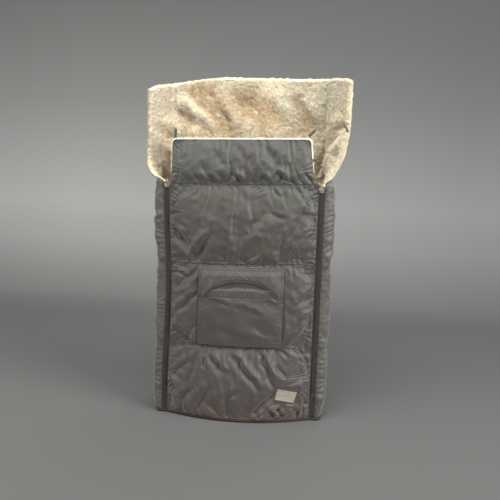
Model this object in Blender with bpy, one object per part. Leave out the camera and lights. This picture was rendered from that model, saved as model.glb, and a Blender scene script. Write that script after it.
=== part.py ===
"""Stroller footmuff, standing on its foot with the zips closed.

A padded sack for a child's legs: a quilted back wall that rises into a fleece-lined headboard, two side
walls, a black sole, and a quilted front cover held by two long zips. The cover carries a patch pocket and
a short flap above the zips. Metres, +Z up, -Y to the front, origin on the floor under the sole's middle.
"""

import math

import bmesh
import bpy
from mathutils import Matrix, Vector

# Heights above the floor
ZIP_TOP = 0.648
FLAP_HEIGHT = 0.118
HOOD_FOLD_RISE = 0.122
HOOD_HEIGHT = 0.155
MIDDLE_SEAM = 0.436
LOWER_SEAM = 0.210
COVER_FOLD_TOP = 0.160
COVER_FOLD_FOOT = 0.105
ZIP_FOOT = 0.076
SOLE_THICKNESS = 0.008

# Plan of the sack, measured on the seam surface between shell and lining
ZIP_HALF = 0.205
ZIP_Y = -0.0502
BACK_Y = 0.0918
SIDE_CORNER_RADIUS = 0.016
SOLE_BULGE = 0.045
FOOT_TUCK_HEIGHT = 0.070
FOOT_TUCK_SHARE = 0.35
ZIP_TOP_BULGE = 0.010

# Headboard: the wing's free edge at the top, measured from the zip's line, and the bend of its curve
WING_EDGE_OUT = 0.062
WING_EDGE_BACK = 0.065
WING_BEND_OUT = 0.022
WING_BEND_AHEAD = 0.028
WING_FLARE_POWER = 5
WING_CORNER_DROP = 0.006
HOOD_LEFT_DROP = 0.030
HOOD_RIGHT_DROP = 0.001
HOOD_LEVEL_HALF = 0.050
HOOD_DROP_POWER = 1.6

# Layers
GAP = 0.0003
SEAM_THICKNESS = 0.0035
FRONT_LOFT = 0.0135
BACK_LOFT = 0.011
SIDE_LOFT = 0.007
HOOD_LOFT = 0.010
LINING_THICKNESS = 0.005
LINING_EASE = 0.0016
LINING_PEEK = 0.003
WING_LINING_RISE = 0.024
LINING_EDGE_SHARE = 0.05
CROWN_POWER = 0.55
ZIP_EDGE_SHARE = 0.35
ZIP_EDGE_POWER = 6
WALL_EDGE_SHARE = 0.3

# Flap: how much narrower each side is at its top
FLAP_LEFT_TAPER = 0.006
FLAP_RIGHT_TAPER = 0.0255
FLAP_TAPER_POWER = 0.4

# Zips
TAPE_WIDTH = 0.013
TAPE_SHOWN = 0.008
TAPE_THICKNESS = 0.0008
CHAIN_WIDTH = 0.003
CHAIN_THICKNESS = 0.0021
CHAIN_TOP_DROP = 0.0075
TOP_STOP_HEIGHT = 0.003
BOTTOM_STOP_HEIGHT = 0.006
BOTTOM_STOP_HALF = 0.0045

# Zip slider, measured from the zip's line
SLIDER_LENGTH = 0.011
SLIDER_HALF = 0.006
SLIDER_FLANGE = 0.0014
SLIDER_FOOT_SHARE = 0.8
SLIDER_TOP_CLEARANCE = 0.0033
CHANNEL_CLEARANCE = 0.0004
FRONT_PLATE = 0.00145
BACK_PLATE = 0.0012
WEDGE_WIDTH = 0.0017
WEDGE_HEIGHT = 0.0035
BRIDGE_HALF = 0.0012
BRIDGE_REACH = 0.0042
BRIDGE_LEG = 0.0014
BRIDGE_BEAM = 0.0013
BRIDGE_ROOM = 0.0022

# Zip pull
PULL_HALF = 0.0035
PULL_LENGTH = 0.019
PULL_THICKNESS = 0.0012
PULL_WINDOW_HALF = 0.0022
PULL_WINDOW_TOP = 0.0085
PULL_EYE_RADIUS = 0.002
PULL_EYE_DROP = 0.0035
PULL_LEAN = math.radians(3)

# Pocket on the middle panel
POCKET_HALF = 0.114
POCKET_SEAM_MARGIN = 0.005
POCKET_MOUTH = 0.352
POCKET_ROOM = 0.0095
POCKET_SIDE_POWER = 4
POCKET_RISE_POWER = 0.7
POCKET_CLOTH = 0.002
POCKET_HEM_HEIGHT = 0.044
POCKET_HEM_THICKNESS = 0.003
FACING_SIDE_FOOT = 0.343
FACING_ARCH_TOP = 0.391
FACING_ARCH_INSET = 0.015
FACING_ARCH_POWER = 2.4
FACING_CLOTH = 0.002
FACING_SETTLE = 0.6
FACING_SETTLE_POWER = 0.5

# Harness slots through the back
SLOT_HALF_WIDTH = 0.004
SLOT_BINDING = 0.003
SLOT_LENGTH = 0.120
CROTCH_SLOT_LENGTH = 0.100
SHOULDER_SLOT_X = 0.060
SHOULDER_SLOT_Z = 0.542
CROTCH_SLOT_Z = 0.323
BINDING_PROUD = 0.001

# Fold axes: how far each stands in front of the cloth that folds
COVER_AXIS_CLEARANCE = 0.0025
FLAP_AXIS_CLEARANCE = 0.006

# Trim
PIPING_RADIUS = 0.002
LABEL_WIDTH = 0.053
LABEL_HEIGHT = 0.031
LABEL_THICKNESS = 0.001
LABEL_INSET = 0.071
LABEL_Z = 0.080
LABEL_TILT = math.radians(-11)
LOOP_WIDTH = 0.007
LOOP_LENGTH = 0.024
LOOP_CLOTH = 0.0009
LOOP_EYE_RADIUS = 0.0016
LOOP_EYE_TURN = math.radians(135)
HOOD_LOOP_INSET = 0.0045
HOOD_LOOP_LIFT = 0.0022
HOOD_LOOP_RISE = 1.2
FLAP_SIDE_LOOP_LENGTH = 0.012
FLAP_SIDE_LOOP_DROP = 0.054
HOOD_LOOP_HEIGHT = 0.022

# Surfaces worked out from the sizes above
FLAP_TOP = ZIP_TOP + FLAP_HEIGHT
HOOD_FOLD = ZIP_TOP + HOOD_FOLD_RISE
HOOD_TOP = HOOD_FOLD + HOOD_HEIGHT
WALL_FOOT = SOLE_THICKNESS + GAP
LOWER_CHANNEL = (WALL_FOOT, LOWER_SEAM)
PANEL_HALF = ZIP_HALF - TAPE_SHOWN
LINING_HALF = ZIP_HALF - TAPE_WIDTH - GAP
WING_EDGE_X = ZIP_HALF + WING_EDGE_OUT
ARC_START_X = ZIP_HALF + TAPE_WIDTH + 2 * GAP
SIDE_X = ARC_START_X + SIDE_CORNER_RADIUS
SKIN = GAP / 2
CHAIN_FRONT = SKIN + CHAIN_THICKNESS
LINING_FACE = -SKIN - LINING_EASE
LINING_BACK = LINING_FACE - LINING_THICKNESS

# Spacing of the faces, as shares of each piece
FRONT_SHARES = [-1, -0.93, -0.8, -0.6, -0.4, -0.2, 0, 0.2, 0.4, 0.6, 0.8, 0.93, 1]
CHANNEL_SHARES = [0, 0.07, 0.22, 0.5, 0.78, 0.93]
ARC_SHARES = [0, 0.25, 0.5, 0.75, 1]
SIDE_FLAT_SHARES = [0.33, 0.67]
ROW_SHARES = [0, 0.12, 0.35, 0.65, 0.88, 1]
FEW_SHARES = [0, 0.5, 1]
ROUND_STEPS = 12

COLOURS = {
    "shell": ((0.125, 0.118, 0.100), 0.55, 0.0),
    "fleece": ((0.640, 0.520, 0.360), 0.95, 0.0),
    "zip_tape": ((0.045, 0.045, 0.042), 0.75, 0.0),
    "zip_chain": ((0.035, 0.035, 0.034), 0.40, 0.0),
    "slider": ((0.300, 0.290, 0.270), 0.35, 0.9),
    "sole": ((0.015, 0.014, 0.014), 0.60, 0.0),
    "ribbon": ((0.070, 0.072, 0.065), 0.70, 0.0),
    "label": ((0.560, 0.500, 0.410), 0.85, 0.0),
}


def clear_scene():
    """Remove every object of the startup scene."""
    for obj in list(bpy.data.objects):
        bpy.data.objects.remove(obj)


def material(name):
    """The named Principled material, made once."""
    found = bpy.data.materials.get(name)
    if found:
        return found
    colour, roughness, metallic = COLOURS[name]
    made = bpy.data.materials.new(name)
    made.use_nodes = True
    shader = made.node_tree.nodes["Principled BSDF"]
    shader.inputs["Base Color"].default_value = (*colour, 1)
    shader.inputs["Roughness"].default_value = roughness
    shader.inputs["Metallic"].default_value = metallic
    return made


def finish(name, bm, finish_name):
    """Turn a bmesh into a smooth-shaded object with its material."""
    bmesh.ops.recalc_face_normals(bm, faces=bm.faces)
    mesh = bpy.data.meshes.new(name)
    bm.to_mesh(mesh)
    bm.free()
    mesh.shade_smooth()
    mesh.set_sharp_from_angle(angle=math.radians(35))
    mesh.materials.append(material(finish_name))
    obj = bpy.data.objects.new(name, mesh)
    bpy.context.scene.collection.objects.link(obj)
    return obj


def outward(tangent):
    """Unit normal to the right of a direction in plan, level with the floor."""
    return Vector((tangent.y, -tangent.x, 0)).normalized()


def front_bulge(z):
    """How far the front stands out between the zips at height z."""
    return SOLE_BULGE + (ZIP_TOP_BULGE - SOLE_BULGE) * z / ZIP_TOP


def front_place(x, z):
    """Point and outward normal of the front's seam surface."""
    bulge = front_bulge(z)
    spread = x / PANEL_HALF
    point = Vector((x, ZIP_Y - bulge * (1 - spread ** 2), z))
    return point, outward(Vector((1, 2 * bulge * spread / PANEL_HALF, 0)))


def side_stops():
    """Plan points of the right side wall from the zip back to the rear corner."""
    radius = SIDE_CORNER_RADIUS
    stops = [Vector((ZIP_HALF + TAPE_SHOWN, ZIP_Y, 0))]
    for share in ARC_SHARES:
        turn = share * math.pi / 2
        stops.append(Vector((
            ARC_START_X + radius * math.sin(turn), ZIP_Y + radius * (1 - math.cos(turn)), 0)))
    front_y, rear_y = ZIP_Y + radius, BACK_Y - radius
    for share in SIDE_FLAT_SHARES:
        stops.append(Vector((SIDE_X, front_y + share * (rear_y - front_y), 0)))
    for share in ARC_SHARES:
        turn = share * math.pi / 2
        stops.append(Vector((
            ARC_START_X + radius * math.cos(turn), rear_y + radius * math.sin(turn), 0)))
    return stops


SIDE_STOPS = side_stops()


def flare(z):
    """0 up to the zip's top, rising to 1 at the headboard's top."""
    rise = max(0, min(1, (z - ZIP_TOP) / (HOOD_TOP - ZIP_TOP)))
    return 1 - (1 - rise) ** WING_FLARE_POWER


def wing_stops():
    """Plan points of the open wing at the top, one for each of SIDE_STOPS."""
    edge = Vector((WING_EDGE_X, ZIP_Y + WING_EDGE_BACK, 0))
    bend = Vector((ZIP_HALF + WING_BEND_OUT, BACK_Y - WING_BEND_AHEAD, 0))
    corner = SIDE_STOPS[-1]
    last = len(SIDE_STOPS) - 1
    shares = [index / last for index in range(len(SIDE_STOPS))]
    return [edge * (1 - t) ** 2 + bend * 2 * t * (1 - t) + corner * t ** 2 for t in shares]


WING_STOPS = wing_stops()


def tucked(stop, z):
    """A side stop drawn in towards the zip's line where the wall turns under at the foot."""
    drop = max(0, 1 - z / FOOT_TUCK_HEIGHT)
    fullness = 1 - (1 - FOOT_TUCK_SHARE) * (1 - math.sqrt(1 - drop ** 2))
    past_corner = max(0, stop.x - ARC_START_X)
    return Vector((stop.x - past_corner * (1 - fullness), stop.y, 0))


def side_place(index, z, hand):
    """Point and outward normal of a side wall. hand is 1 on the right and -1 on the left."""
    share = flare(z)
    points = [tucked(low, z).lerp(high, share) for low, high in zip(SIDE_STOPS, WING_STOPS)]
    ahead = points[max(1, index + (1 < index < len(points) - 1))]
    behind = points[max(index - 1, 0)]
    point, normal = points[index], outward(ahead - behind)
    if index == len(points) - 1:
        normal = Vector((0, 1, 0))
    return Vector((hand * point.x, point.y, z)), Vector((hand * normal.x, normal.y, 0))


def back_place(x, z):
    """Point and outward normal of the back wall."""
    return Vector((x, BACK_Y, z)), Vector((0, 1, 0))


def crown(share):
    """Height of a padded channel between two seams, from 0 to 1."""
    return max(0, math.sin(math.pi * share)) ** CROWN_POWER


def channel_rows(seams):
    """Heights of the faces' rows between seams, and the padding's crown at each."""
    rows = []
    for low, high in zip(seams, seams[1:]):
        rows += [(low + (high - low) * share, crown(share)) for share in CHANNEL_SHARES]
    return rows + [(seams[-1], 0)]


def slab(name, columns, rows, place, inner, outer, finish_name):
    """A closed padded sheet. place(column, row) gives its seam surface, inner and outer the two faces."""
    bm = bmesh.new()
    faces = []
    for offset in (outer, inner):
        sheet = []
        for column in columns:
            line = []
            for row in rows:
                point, normal = place(column, row)
                line.append(bm.verts.new(point + normal * offset(column, row)))
            sheet.append(line)
        faces.append(sheet)
    front, rear = faces
    last_column, last_row = len(columns) - 1, len(rows) - 1
    for i in range(last_column):
        for j in range(last_row):
            for sheet in (front, rear):
                bm.faces.new((sheet[i][j], sheet[i + 1][j], sheet[i + 1][j + 1]))
                bm.faces.new((sheet[i][j], sheet[i + 1][j + 1], sheet[i][j + 1]))
        for j in (0, last_row):
            bm.faces.new((front[i][j], front[i + 1][j], rear[i + 1][j], rear[i][j]))
    for j in range(last_row):
        for i in (0, last_column):
            bm.faces.new((front[i][j], front[i][j + 1], rear[i][j + 1], rear[i][j]))
    return finish(name, bm, finish_name)


def steady(distance):
    """An offset that is the same all over a sheet."""
    return lambda column, row: distance


def front_shell(name, low, high, channel=None, loft=FRONT_LOFT):
    """A quilted panel of the front from low to high. channel gives the seams where it's a part of one."""
    foot, top = channel or (low, high)
    shares = ROW_SHARES if channel else [*CHANNEL_SHARES, 1]
    heights = [low + SKIN + (high - low - GAP) * share for share in shares]
    rows = [(z, crown((z - foot) / (top - foot))) for z in heights]
    return slab(
        name, FRONT_SHARES, rows,
        lambda share, row: front_place(share * PANEL_HALF, row[0]),
        steady(SKIN),
        lambda share, row: shell_face(share, row[1], loft),
        "shell")


def shell_face(share, swell, loft):
    """Outer face of a front panel: full at its middle, drawn in at the seams and the zips."""
    across = 1 - abs(share) ** ZIP_EDGE_POWER
    fullness = ZIP_EDGE_SHARE + (1 - ZIP_EDGE_SHARE) * across
    return SEAM_THICKNESS + (loft - SEAM_THICKNESS) * swell * fullness


def front_lining(name, low, high, row_shares):
    """Fleece behind the front between two heights."""
    edge = LINING_HALF / PANEL_HALF
    columns = [-edge, *FRONT_SHARES[1:-1], edge]
    rows = [low + SKIN + (high - low - GAP) * share for share in row_shares]
    return slab(
        name, columns, rows,
        lambda share, z: front_place(share * PANEL_HALF, z),
        steady(LINING_BACK), steady(LINING_FACE), "fleece")


def flap_half(z, hand):
    """The flap's width from its middle to one side at height z. hand is 1 on the right and -1 on the left."""
    taper = FLAP_RIGHT_TAPER if hand > 0 else FLAP_LEFT_TAPER
    rise = min(1, (z - ZIP_TOP) / (FLAP_TOP - ZIP_TOP))
    return PANEL_HALF - taper * rise ** FLAP_TAPER_POWER


def flap_lining_half(z, hand):
    """As flap_half, for the flap's fleece: behind the zip tapes at its foot, past the shell above."""
    below = (FLAP_TOP - z) / (FLAP_TOP - ZIP_TOP)
    return flap_half(z, hand) + LINING_PEEK - (LINING_PEEK + PANEL_HALF - LINING_HALF) * max(0, below) ** 4


def build_flap():
    """Short padded flap above the zips, with its fleece showing round the edge."""
    rows = channel_rows([ZIP_TOP, FLAP_TOP])
    rows[0] = (ZIP_TOP + SKIN, 0)
    slab(
        "flap_shell", FRONT_SHARES, rows,
        lambda share, row: front_place(share * flap_half(row[0], share), row[0]),
        steady(SKIN),
        lambda share, row: shell_face(share, row[1], FRONT_LOFT),
        "shell")
    top = FLAP_TOP + LINING_PEEK
    slab(
        "flap_lining", FRONT_SHARES,
        [ZIP_TOP + SKIN + (top - ZIP_TOP) * share for share in ROW_SHARES],
        lambda share, z: front_place(share * flap_lining_half(z, share), z),
        steady(LINING_BACK), steady(LINING_FACE), "fleece")


def build_front():
    """The quilted panels from the toe up, and the fleece behind them."""
    front_shell("toe_shell", WALL_FOOT, COVER_FOLD_FOOT, LOWER_CHANNEL)
    front_shell("cover_fold_shell", COVER_FOLD_FOOT, COVER_FOLD_TOP, LOWER_CHANNEL)
    front_shell("lower_shell", COVER_FOLD_TOP, LOWER_SEAM, LOWER_CHANNEL)
    front_shell("middle_shell", LOWER_SEAM, MIDDLE_SEAM)
    front_shell("upper_shell", MIDDLE_SEAM, ZIP_TOP)
    front_lining("toe_lining", WALL_FOOT, COVER_FOLD_FOOT, FEW_SHARES)
    front_lining("cover_fold_lining", COVER_FOLD_FOOT, COVER_FOLD_TOP, FEW_SHARES)
    front_lining("cover_lining", COVER_FOLD_TOP, ZIP_TOP, ROW_SHARES)


def wall_seams():
    """Heights of the quilting lines round the back and sides."""
    return [WALL_FOOT, LOWER_SEAM, MIDDLE_SEAM, ZIP_TOP, HOOD_FOLD - SKIN]


def lining_rows(rows):
    """Heights of a wall lining's rows: the shell's own where the wall bends, and few between."""
    return [z for z, _ in rows if z <= LOWER_SEAM or z >= ZIP_TOP or z == MIDDLE_SEAM]


def side_lining_place(index, z, hand):
    """As side_place, but the first column runs out from beside the zip tape to the wing's edge."""
    if index > 0:
        return side_place(index, z, hand)
    edge, normal = side_place(0, z, hand)
    second, _ = side_place(1, z, hand)
    reach = (z - ZIP_TOP) / WING_LINING_RISE
    return second.lerp(edge, max(LINING_EDGE_SHARE, min(1, reach))), normal


def build_sides():
    """Side walls from the zips to the rear corners, each a quilted shell and a fleece."""
    rows = channel_rows(wall_seams())
    last = len(SIDE_STOPS) - 1
    for side, hand in (("left", -1), ("right", 1)):
        slab(
            f"{side}_side_shell", list(range(last + 1)), rows,
            lambda index, row: side_place(index, row[0], hand),
            steady(SKIN),
            lambda index, row: SEAM_THICKNESS + (SIDE_LOFT - SEAM_THICKNESS) * row[1]
            * (WALL_EDGE_SHARE if index in (0, last) else 1),
            "shell")
        slab(
            f"{side}_side_lining", list(range(last + 1)), lining_rows(rows),
            lambda index, z: side_lining_place(index, z, hand),
            steady(LINING_BACK), steady(LINING_FACE), "fleece")


def back_columns():
    """Places across the back wall between the two side walls."""
    half = ARC_START_X - GAP
    count = len(FRONT_SHARES) // 2
    return [half * index / count for index in range(-count, count + 1)]


def build_back():
    """Back wall, with three slots for the harness straps and their bindings."""
    rows = channel_rows(wall_seams())
    columns = back_columns()
    shell = slab(
        "back_shell", columns, rows, lambda x, row: back_place(x, row[0]), steady(SKIN),
        lambda x, row: SEAM_THICKNESS + (BACK_LOFT - SEAM_THICKNESS) * row[1]
        * (WALL_EDGE_SHARE if x in (columns[0], columns[-1]) else 1),
        "shell")
    half = ARC_START_X - GAP
    lining = slab(
        "back_lining", [half * share for share in (-1, -0.5, 0, 0.5, 1)], wall_seams(), back_place,
        steady(LINING_BACK), steady(LINING_FACE), "fleece")
    for name, x, z, length in (
            ("left_shoulder", -SHOULDER_SLOT_X, SHOULDER_SLOT_Z, SLOT_LENGTH),
            ("right_shoulder", SHOULDER_SLOT_X, SHOULDER_SLOT_Z, SLOT_LENGTH),
            ("crotch", 0, CROTCH_SLOT_Z, CROTCH_SLOT_LENGTH)):
        cut_slot((shell, lining), name, x, z, length)


def stadium(half_width, length):
    """Outline of an upright slot with round ends, about its middle."""
    reach = length / 2 - half_width
    steps = [math.pi * index / (ROUND_STEPS / 2) for index in range(ROUND_STEPS // 2 + 1)]
    top = [(half_width * math.cos(a), reach + half_width * math.sin(a)) for a in steps]
    foot = [(-x, -z) for x, z in top]
    return top + foot


def cut_slot(walls, name, x, z, length):
    """Cut one harness slot through the walls and line it with a bound edge."""
    front = BACK_Y + LINING_BACK - BINDING_PROUD
    rear = BACK_Y + BACK_LOFT + BINDING_PROUD
    outer_half = SLOT_HALF_WIDTH + SLOT_BINDING
    outer_length = length + 2 * SLOT_BINDING
    at = Matrix.Translation((x, 0, z))
    cutter = plate(
        f"{name}_slot_cutter", stadium(outer_half + GAP, outer_length + 2 * GAP), [],
        front - BINDING_PROUD, rear + BINDING_PROUD, "sole", at)
    cutter.hide_render = True
    cutter.display_type = "WIRE"
    for wall in walls:
        cut = wall.modifiers.new(f"{name}_slot", "BOOLEAN")
        cut.operation = "DIFFERENCE"
        cut.object = cutter
    plate(
        f"{name}_slot_binding", stadium(outer_half, outer_length),
        [stadium(SLOT_HALF_WIDTH, length)], front, rear, "ribbon", at)


def plate(name, outline, holes, front, rear, finish_name, at):
    """A flat plate drawn in X and Z with holes, from front to rear along Y, then moved by at."""
    bm = bmesh.new()
    for loop in (outline, *holes):
        corners = [bm.verts.new((x, front, z)) for x, z in loop]
        for first, second in zip(corners, corners[1:] + corners[:1]):
            bm.edges.new((first, second))
    bmesh.ops.triangle_fill(bm, use_beauty=True, use_dissolve=False, edges=bm.edges)
    made = bmesh.ops.extrude_face_region(bm, geom=list(bm.faces))
    moved = [v for v in made["geom"] if isinstance(v, bmesh.types.BMVert)]
    bmesh.ops.translate(bm, verts=moved, vec=(0, rear - front, 0))
    bmesh.ops.transform(bm, matrix=at, verts=bm.verts)
    return finish(name, bm, finish_name)


def hood_drop(x):
    """How far the headboard's top edge lies below its middle at x."""
    out = max(0, abs(x) - HOOD_LEVEL_HALF) / (WING_EDGE_X - HOOD_LEVEL_HALF)
    return (HOOD_LEFT_DROP if x < 0 else HOOD_RIGHT_DROP) * out ** HOOD_DROP_POWER


def build_hood():
    """Headboard above the fold: a quilted shell behind, and a fleece that faces the front."""
    last = len(SIDE_STOPS) - 1
    half = ARC_START_X
    inner_columns = [half * share for share in (-0.75, -0.5, -0.25, 0, 0.25, 0.5, 0.75)]
    columns = (
        [("wing", -1, index) for index in range(last + 1)]
        + [("back", 0, x) for x in inner_columns]
        + [("wing", 1, index) for index in range(last, -1, -1)])

    def place(column, row):
        kind, hand, where = column
        spot, _ = side_place(where, HOOD_TOP, hand) if kind == "wing" else back_place(where, HOOD_TOP)
        corner = WING_CORNER_DROP if kind == "wing" and where == 0 else 0
        top = HOOD_TOP - hood_drop(spot.x) - corner
        z = HOOD_FOLD + SKIN + (top - HOOD_FOLD) * row
        return side_place(where, z, hand) if kind == "wing" else back_place(where, z)

    slab(
        "hood_shell", columns, ROW_SHARES, place, steady(SKIN),
        lambda column, row: SEAM_THICKNESS + (HOOD_LOFT - SEAM_THICKNESS) * crown(row)
        * (WALL_EDGE_SHARE if column[0] == "wing" and column[2] == 0 else 1),
        "shell")
    slab(
        "hood_lining", columns, ROW_SHARES, place,
        steady(LINING_BACK), steady(LINING_FACE), "fleece")


def foot_outline(offset):
    """Plan outline of the sack at its foot, offset outwards from the seam surface."""
    points = []
    for share in FRONT_SHARES:
        point, normal = front_place(share * PANEL_HALF, WALL_FOOT)
        points.append(point + normal * offset)
    for hand, order in ((1, 1), (-1, -1)):
        for index in range(len(SIDE_STOPS))[::order]:
            point, normal = side_place(index, WALL_FOOT, hand)
            points.append(point + normal * offset)
    return [(point.x, point.y) for point in points]


def build_sole():
    """Black sole with its edge rounded under, fleece inside it, and a piping round it."""
    edge = SEAM_THICKNESS
    tuck = PIPING_RADIUS
    bm = bmesh.new()
    rings = []
    for offset, z in ((edge - tuck, 0), (edge, tuck), (edge, SOLE_THICKNESS)):
        rings.append([bm.verts.new((x, y, z)) for x, y in foot_outline(offset)])
    for low, high in zip(rings, rings[1:]):
        for i in range(len(low)):
            bm.faces.new((low[i - 1], low[i], high[i], high[i - 1]))
    bm.faces.new(rings[0])
    bm.faces.new(rings[-1])
    finish("sole_panel", bm, "sole")

    bm = bmesh.new()
    inset = LINING_BACK - GAP
    rings = [
        [bm.verts.new((x, y, z)) for x, y in foot_outline(inset)]
        for z in (WALL_FOOT, WALL_FOOT + LINING_THICKNESS)]
    for i in range(len(rings[0])):
        bm.faces.new((rings[0][i - 1], rings[0][i], rings[1][i], rings[1][i - 1]))
    bm.faces.new(rings[0])
    bm.faces.new(rings[1])
    finish("sole_lining", bm, "fleece")

    bm = bmesh.new()
    sides = ROUND_STEPS // 2
    loops = []
    for step in range(sides):
        turn = 2 * math.pi * step / sides
        offset = edge + GAP + PIPING_RADIUS * (1 + math.cos(turn))
        z = SOLE_THICKNESS - PIPING_RADIUS + PIPING_RADIUS * math.sin(turn)
        loops.append([bm.verts.new((x, y, z)) for x, y in foot_outline(offset)])
    for step in range(sides):
        low, high = loops[step], loops[step - 1]
        for i in range(len(low)):
            bm.faces.new((low[i - 1], low[i], high[i], high[i - 1]))
    finish("sole_piping", bm, "sole")


def block(name, low, high, finish_name):
    """A plain box between two corners."""
    bm = bmesh.new()
    bmesh.ops.create_cube(bm, size=1)
    size = Vector(high) - Vector(low)
    middle = (Vector(high) + Vector(low)) / 2
    bmesh.ops.transform(bm, matrix=Matrix.Translation(middle) @ Matrix.Diagonal((*size, 1)), verts=bm.verts)
    return finish(name, bm, finish_name)


def zip_block(name, hand, across, depth, height, finish_name):
    """A box on a zip. across runs from the zip's line, positive to the outside of the sack."""
    xs = sorted(hand * (ZIP_HALF + value) for value in across)
    low, high = zip(xs, (ZIP_Y + depth[0], ZIP_Y + depth[1]), height)
    return block(name, low, high, finish_name)


def build_zip(side, hand):
    """Tapes, chains and stops of one zip. Below the cover's fold its inner half is sewn to the toe."""
    tape = (SKIN, SKIN + TAPE_THICKNESS)
    chain = (-CHAIN_FRONT, -SKIN)
    outside, inside = (SKIN, TAPE_WIDTH), (-TAPE_WIDTH, -SKIN)
    chain_top = ZIP_TOP - CHAIN_TOP_DROP
    zip_block(f"{side}_zip_side_tape", hand, outside, tape, (WALL_FOOT, ZIP_TOP), "zip_tape")
    toe_top = COVER_FOLD_FOOT - GAP
    zip_block(f"{side}_zip_toe_tape", hand, inside, tape, (WALL_FOOT, toe_top), "zip_tape")
    zip_block(f"{side}_zip_cover_tape", hand, inside, tape, (COVER_FOLD_FOOT, chain_top), "zip_tape")
    zip_block(
        f"{side}_zip_side_chain", hand, (SKIN, CHAIN_WIDTH), chain, (ZIP_FOOT, chain_top), "zip_chain")
    zip_block(
        f"{side}_zip_toe_chain", hand, (-CHAIN_WIDTH, -SKIN), chain, (ZIP_FOOT, toe_top), "zip_chain")
    zip_block(
        f"{side}_zip_cover_chain", hand, (-CHAIN_WIDTH, -SKIN), chain, (COVER_FOLD_FOOT, chain_top),
        "zip_chain")
    stop_foot = ZIP_TOP - SLIDER_TOP_CLEARANCE + GAP
    zip_block(
        f"{side}_zip_top_stop", hand, (SKIN, CHAIN_WIDTH), chain,
        (stop_foot, stop_foot + TOP_STOP_HEIGHT), "slider")
    zip_block(
        f"{side}_zip_bottom_stop", hand, (-BOTTOM_STOP_HALF, BOTTOM_STOP_HALF), chain,
        (ZIP_FOOT - GAP - BOTTOM_STOP_HEIGHT, ZIP_FOOT - GAP), "slider")


def slider_middle():
    """Height of the slider's middle with the zip closed."""
    return ZIP_TOP - SLIDER_TOP_CLEARANCE - SLIDER_LENGTH / 2


def lattice(name, xs, ys, zs, filled, shape, finish_name):
    """A solid of box cells between the stops, where filled says so. shape moves each corner."""
    bm = bmesh.new()
    corners = {}

    def corner(i, j, k):
        if (i, j, k) not in corners:
            corners[i, j, k] = bm.verts.new(shape(Vector((xs[i], ys[j], zs[k]))))
        return corners[i, j, k]

    def is_filled(i, j, k):
        inside = 0 <= i < len(xs) - 1 and 0 <= j < len(ys) - 1 and 0 <= k < len(zs) - 1
        return inside and filled(
            (xs[i] + xs[i + 1]) / 2, (ys[j] + ys[j + 1]) / 2, (zs[k] + zs[k + 1]) / 2)

    for i in range(len(xs) - 1):
        for j in range(len(ys) - 1):
            for k in range(len(zs) - 1):
                if not is_filled(i, j, k):
                    continue
                for axis in range(3):
                    for step in (-1, 1):
                        there = [i, j, k]
                        there[axis] += step
                        if is_filled(*there):
                            continue
                        base = [i, j, k]
                        base[axis] += step > 0
                        first, second = (axis + 1) % 3, (axis + 2) % 3
                        ring = []
                        for a, b in ((0, 0), (1, 0), (1, 1), (0, 1)):
                            at = list(base)
                            at[first] += a
                            at[second] += b
                            ring.append(corner(*at))
                        bm.faces.new(ring)
    return finish(name, bm, finish_name)


def build_slider(side, hand):
    """Zip slider: two plates joined by a wedge on the cover's side, flanges round the chain, and a bridge."""
    plate_inside = CHAIN_FRONT + CHANNEL_CLEARANCE
    plate_face = plate_inside + FRONT_PLATE
    rear_inside = SKIN + TAPE_THICKNESS + CHANNEL_CLEARANCE
    rear_face = rear_inside + BACK_PLATE
    beam_inside = plate_face + BRIDGE_ROOM
    beam_face = beam_inside + BRIDGE_BEAM
    channel = SLIDER_HALF - SLIDER_FLANGE
    wedge = (-SKIN - WEDGE_WIDTH, -SKIN)
    half = SLIDER_LENGTH / 2
    leg = BRIDGE_REACH - BRIDGE_LEG
    xs = sorted([
        -SLIDER_HALF, -channel, wedge[0], -BRIDGE_HALF, wedge[1], BRIDGE_HALF, channel, SLIDER_HALF])
    ys = [-beam_face, -beam_inside, -plate_face, -plate_inside, 0, rear_inside, rear_face]
    zs = sorted([-half, -BRIDGE_REACH, -leg, half - WEDGE_HEIGHT, leg, BRIDGE_REACH, half])

    def filled(x, y, z):
        if y < -plate_face:
            on_bridge = abs(x) < BRIDGE_HALF and abs(z) < BRIDGE_REACH
            return on_bridge and (y < -beam_inside or abs(z) > leg)
        if y < -plate_inside or y > rear_inside:
            return True
        if wedge[0] < x < wedge[1] and z > half - WEDGE_HEIGHT:
            return True
        return y < 0 and abs(x) > channel

    def shape(corner):
        narrow = 1
        if corner.y >= -plate_face and abs(corner.x) > channel - GAP:
            low = (half - corner.z) / SLIDER_LENGTH
            narrow = 1 - (1 - SLIDER_FOOT_SHARE) * low
        return Vector((
            hand * (ZIP_HALF + corner.x * narrow), ZIP_Y + corner.y, slider_middle() + corner.z))

    lattice(f"{side}_zip_slider", xs, ys, zs, filled, shape, "slider")


def circle(radius, x=0, z=0):
    """Points of a circle in X and Z."""
    turns = [2 * math.pi * index / ROUND_STEPS for index in range(ROUND_STEPS)]
    return [(x + radius * math.cos(turn), z + radius * math.sin(turn)) for turn in turns]


def pull_axis_depth():
    """How far in front of the zip's seam surface the pull's bar runs."""
    return CHAIN_FRONT + CHANNEL_CLEARANCE + FRONT_PLATE + BRIDGE_ROOM / 2


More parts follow.
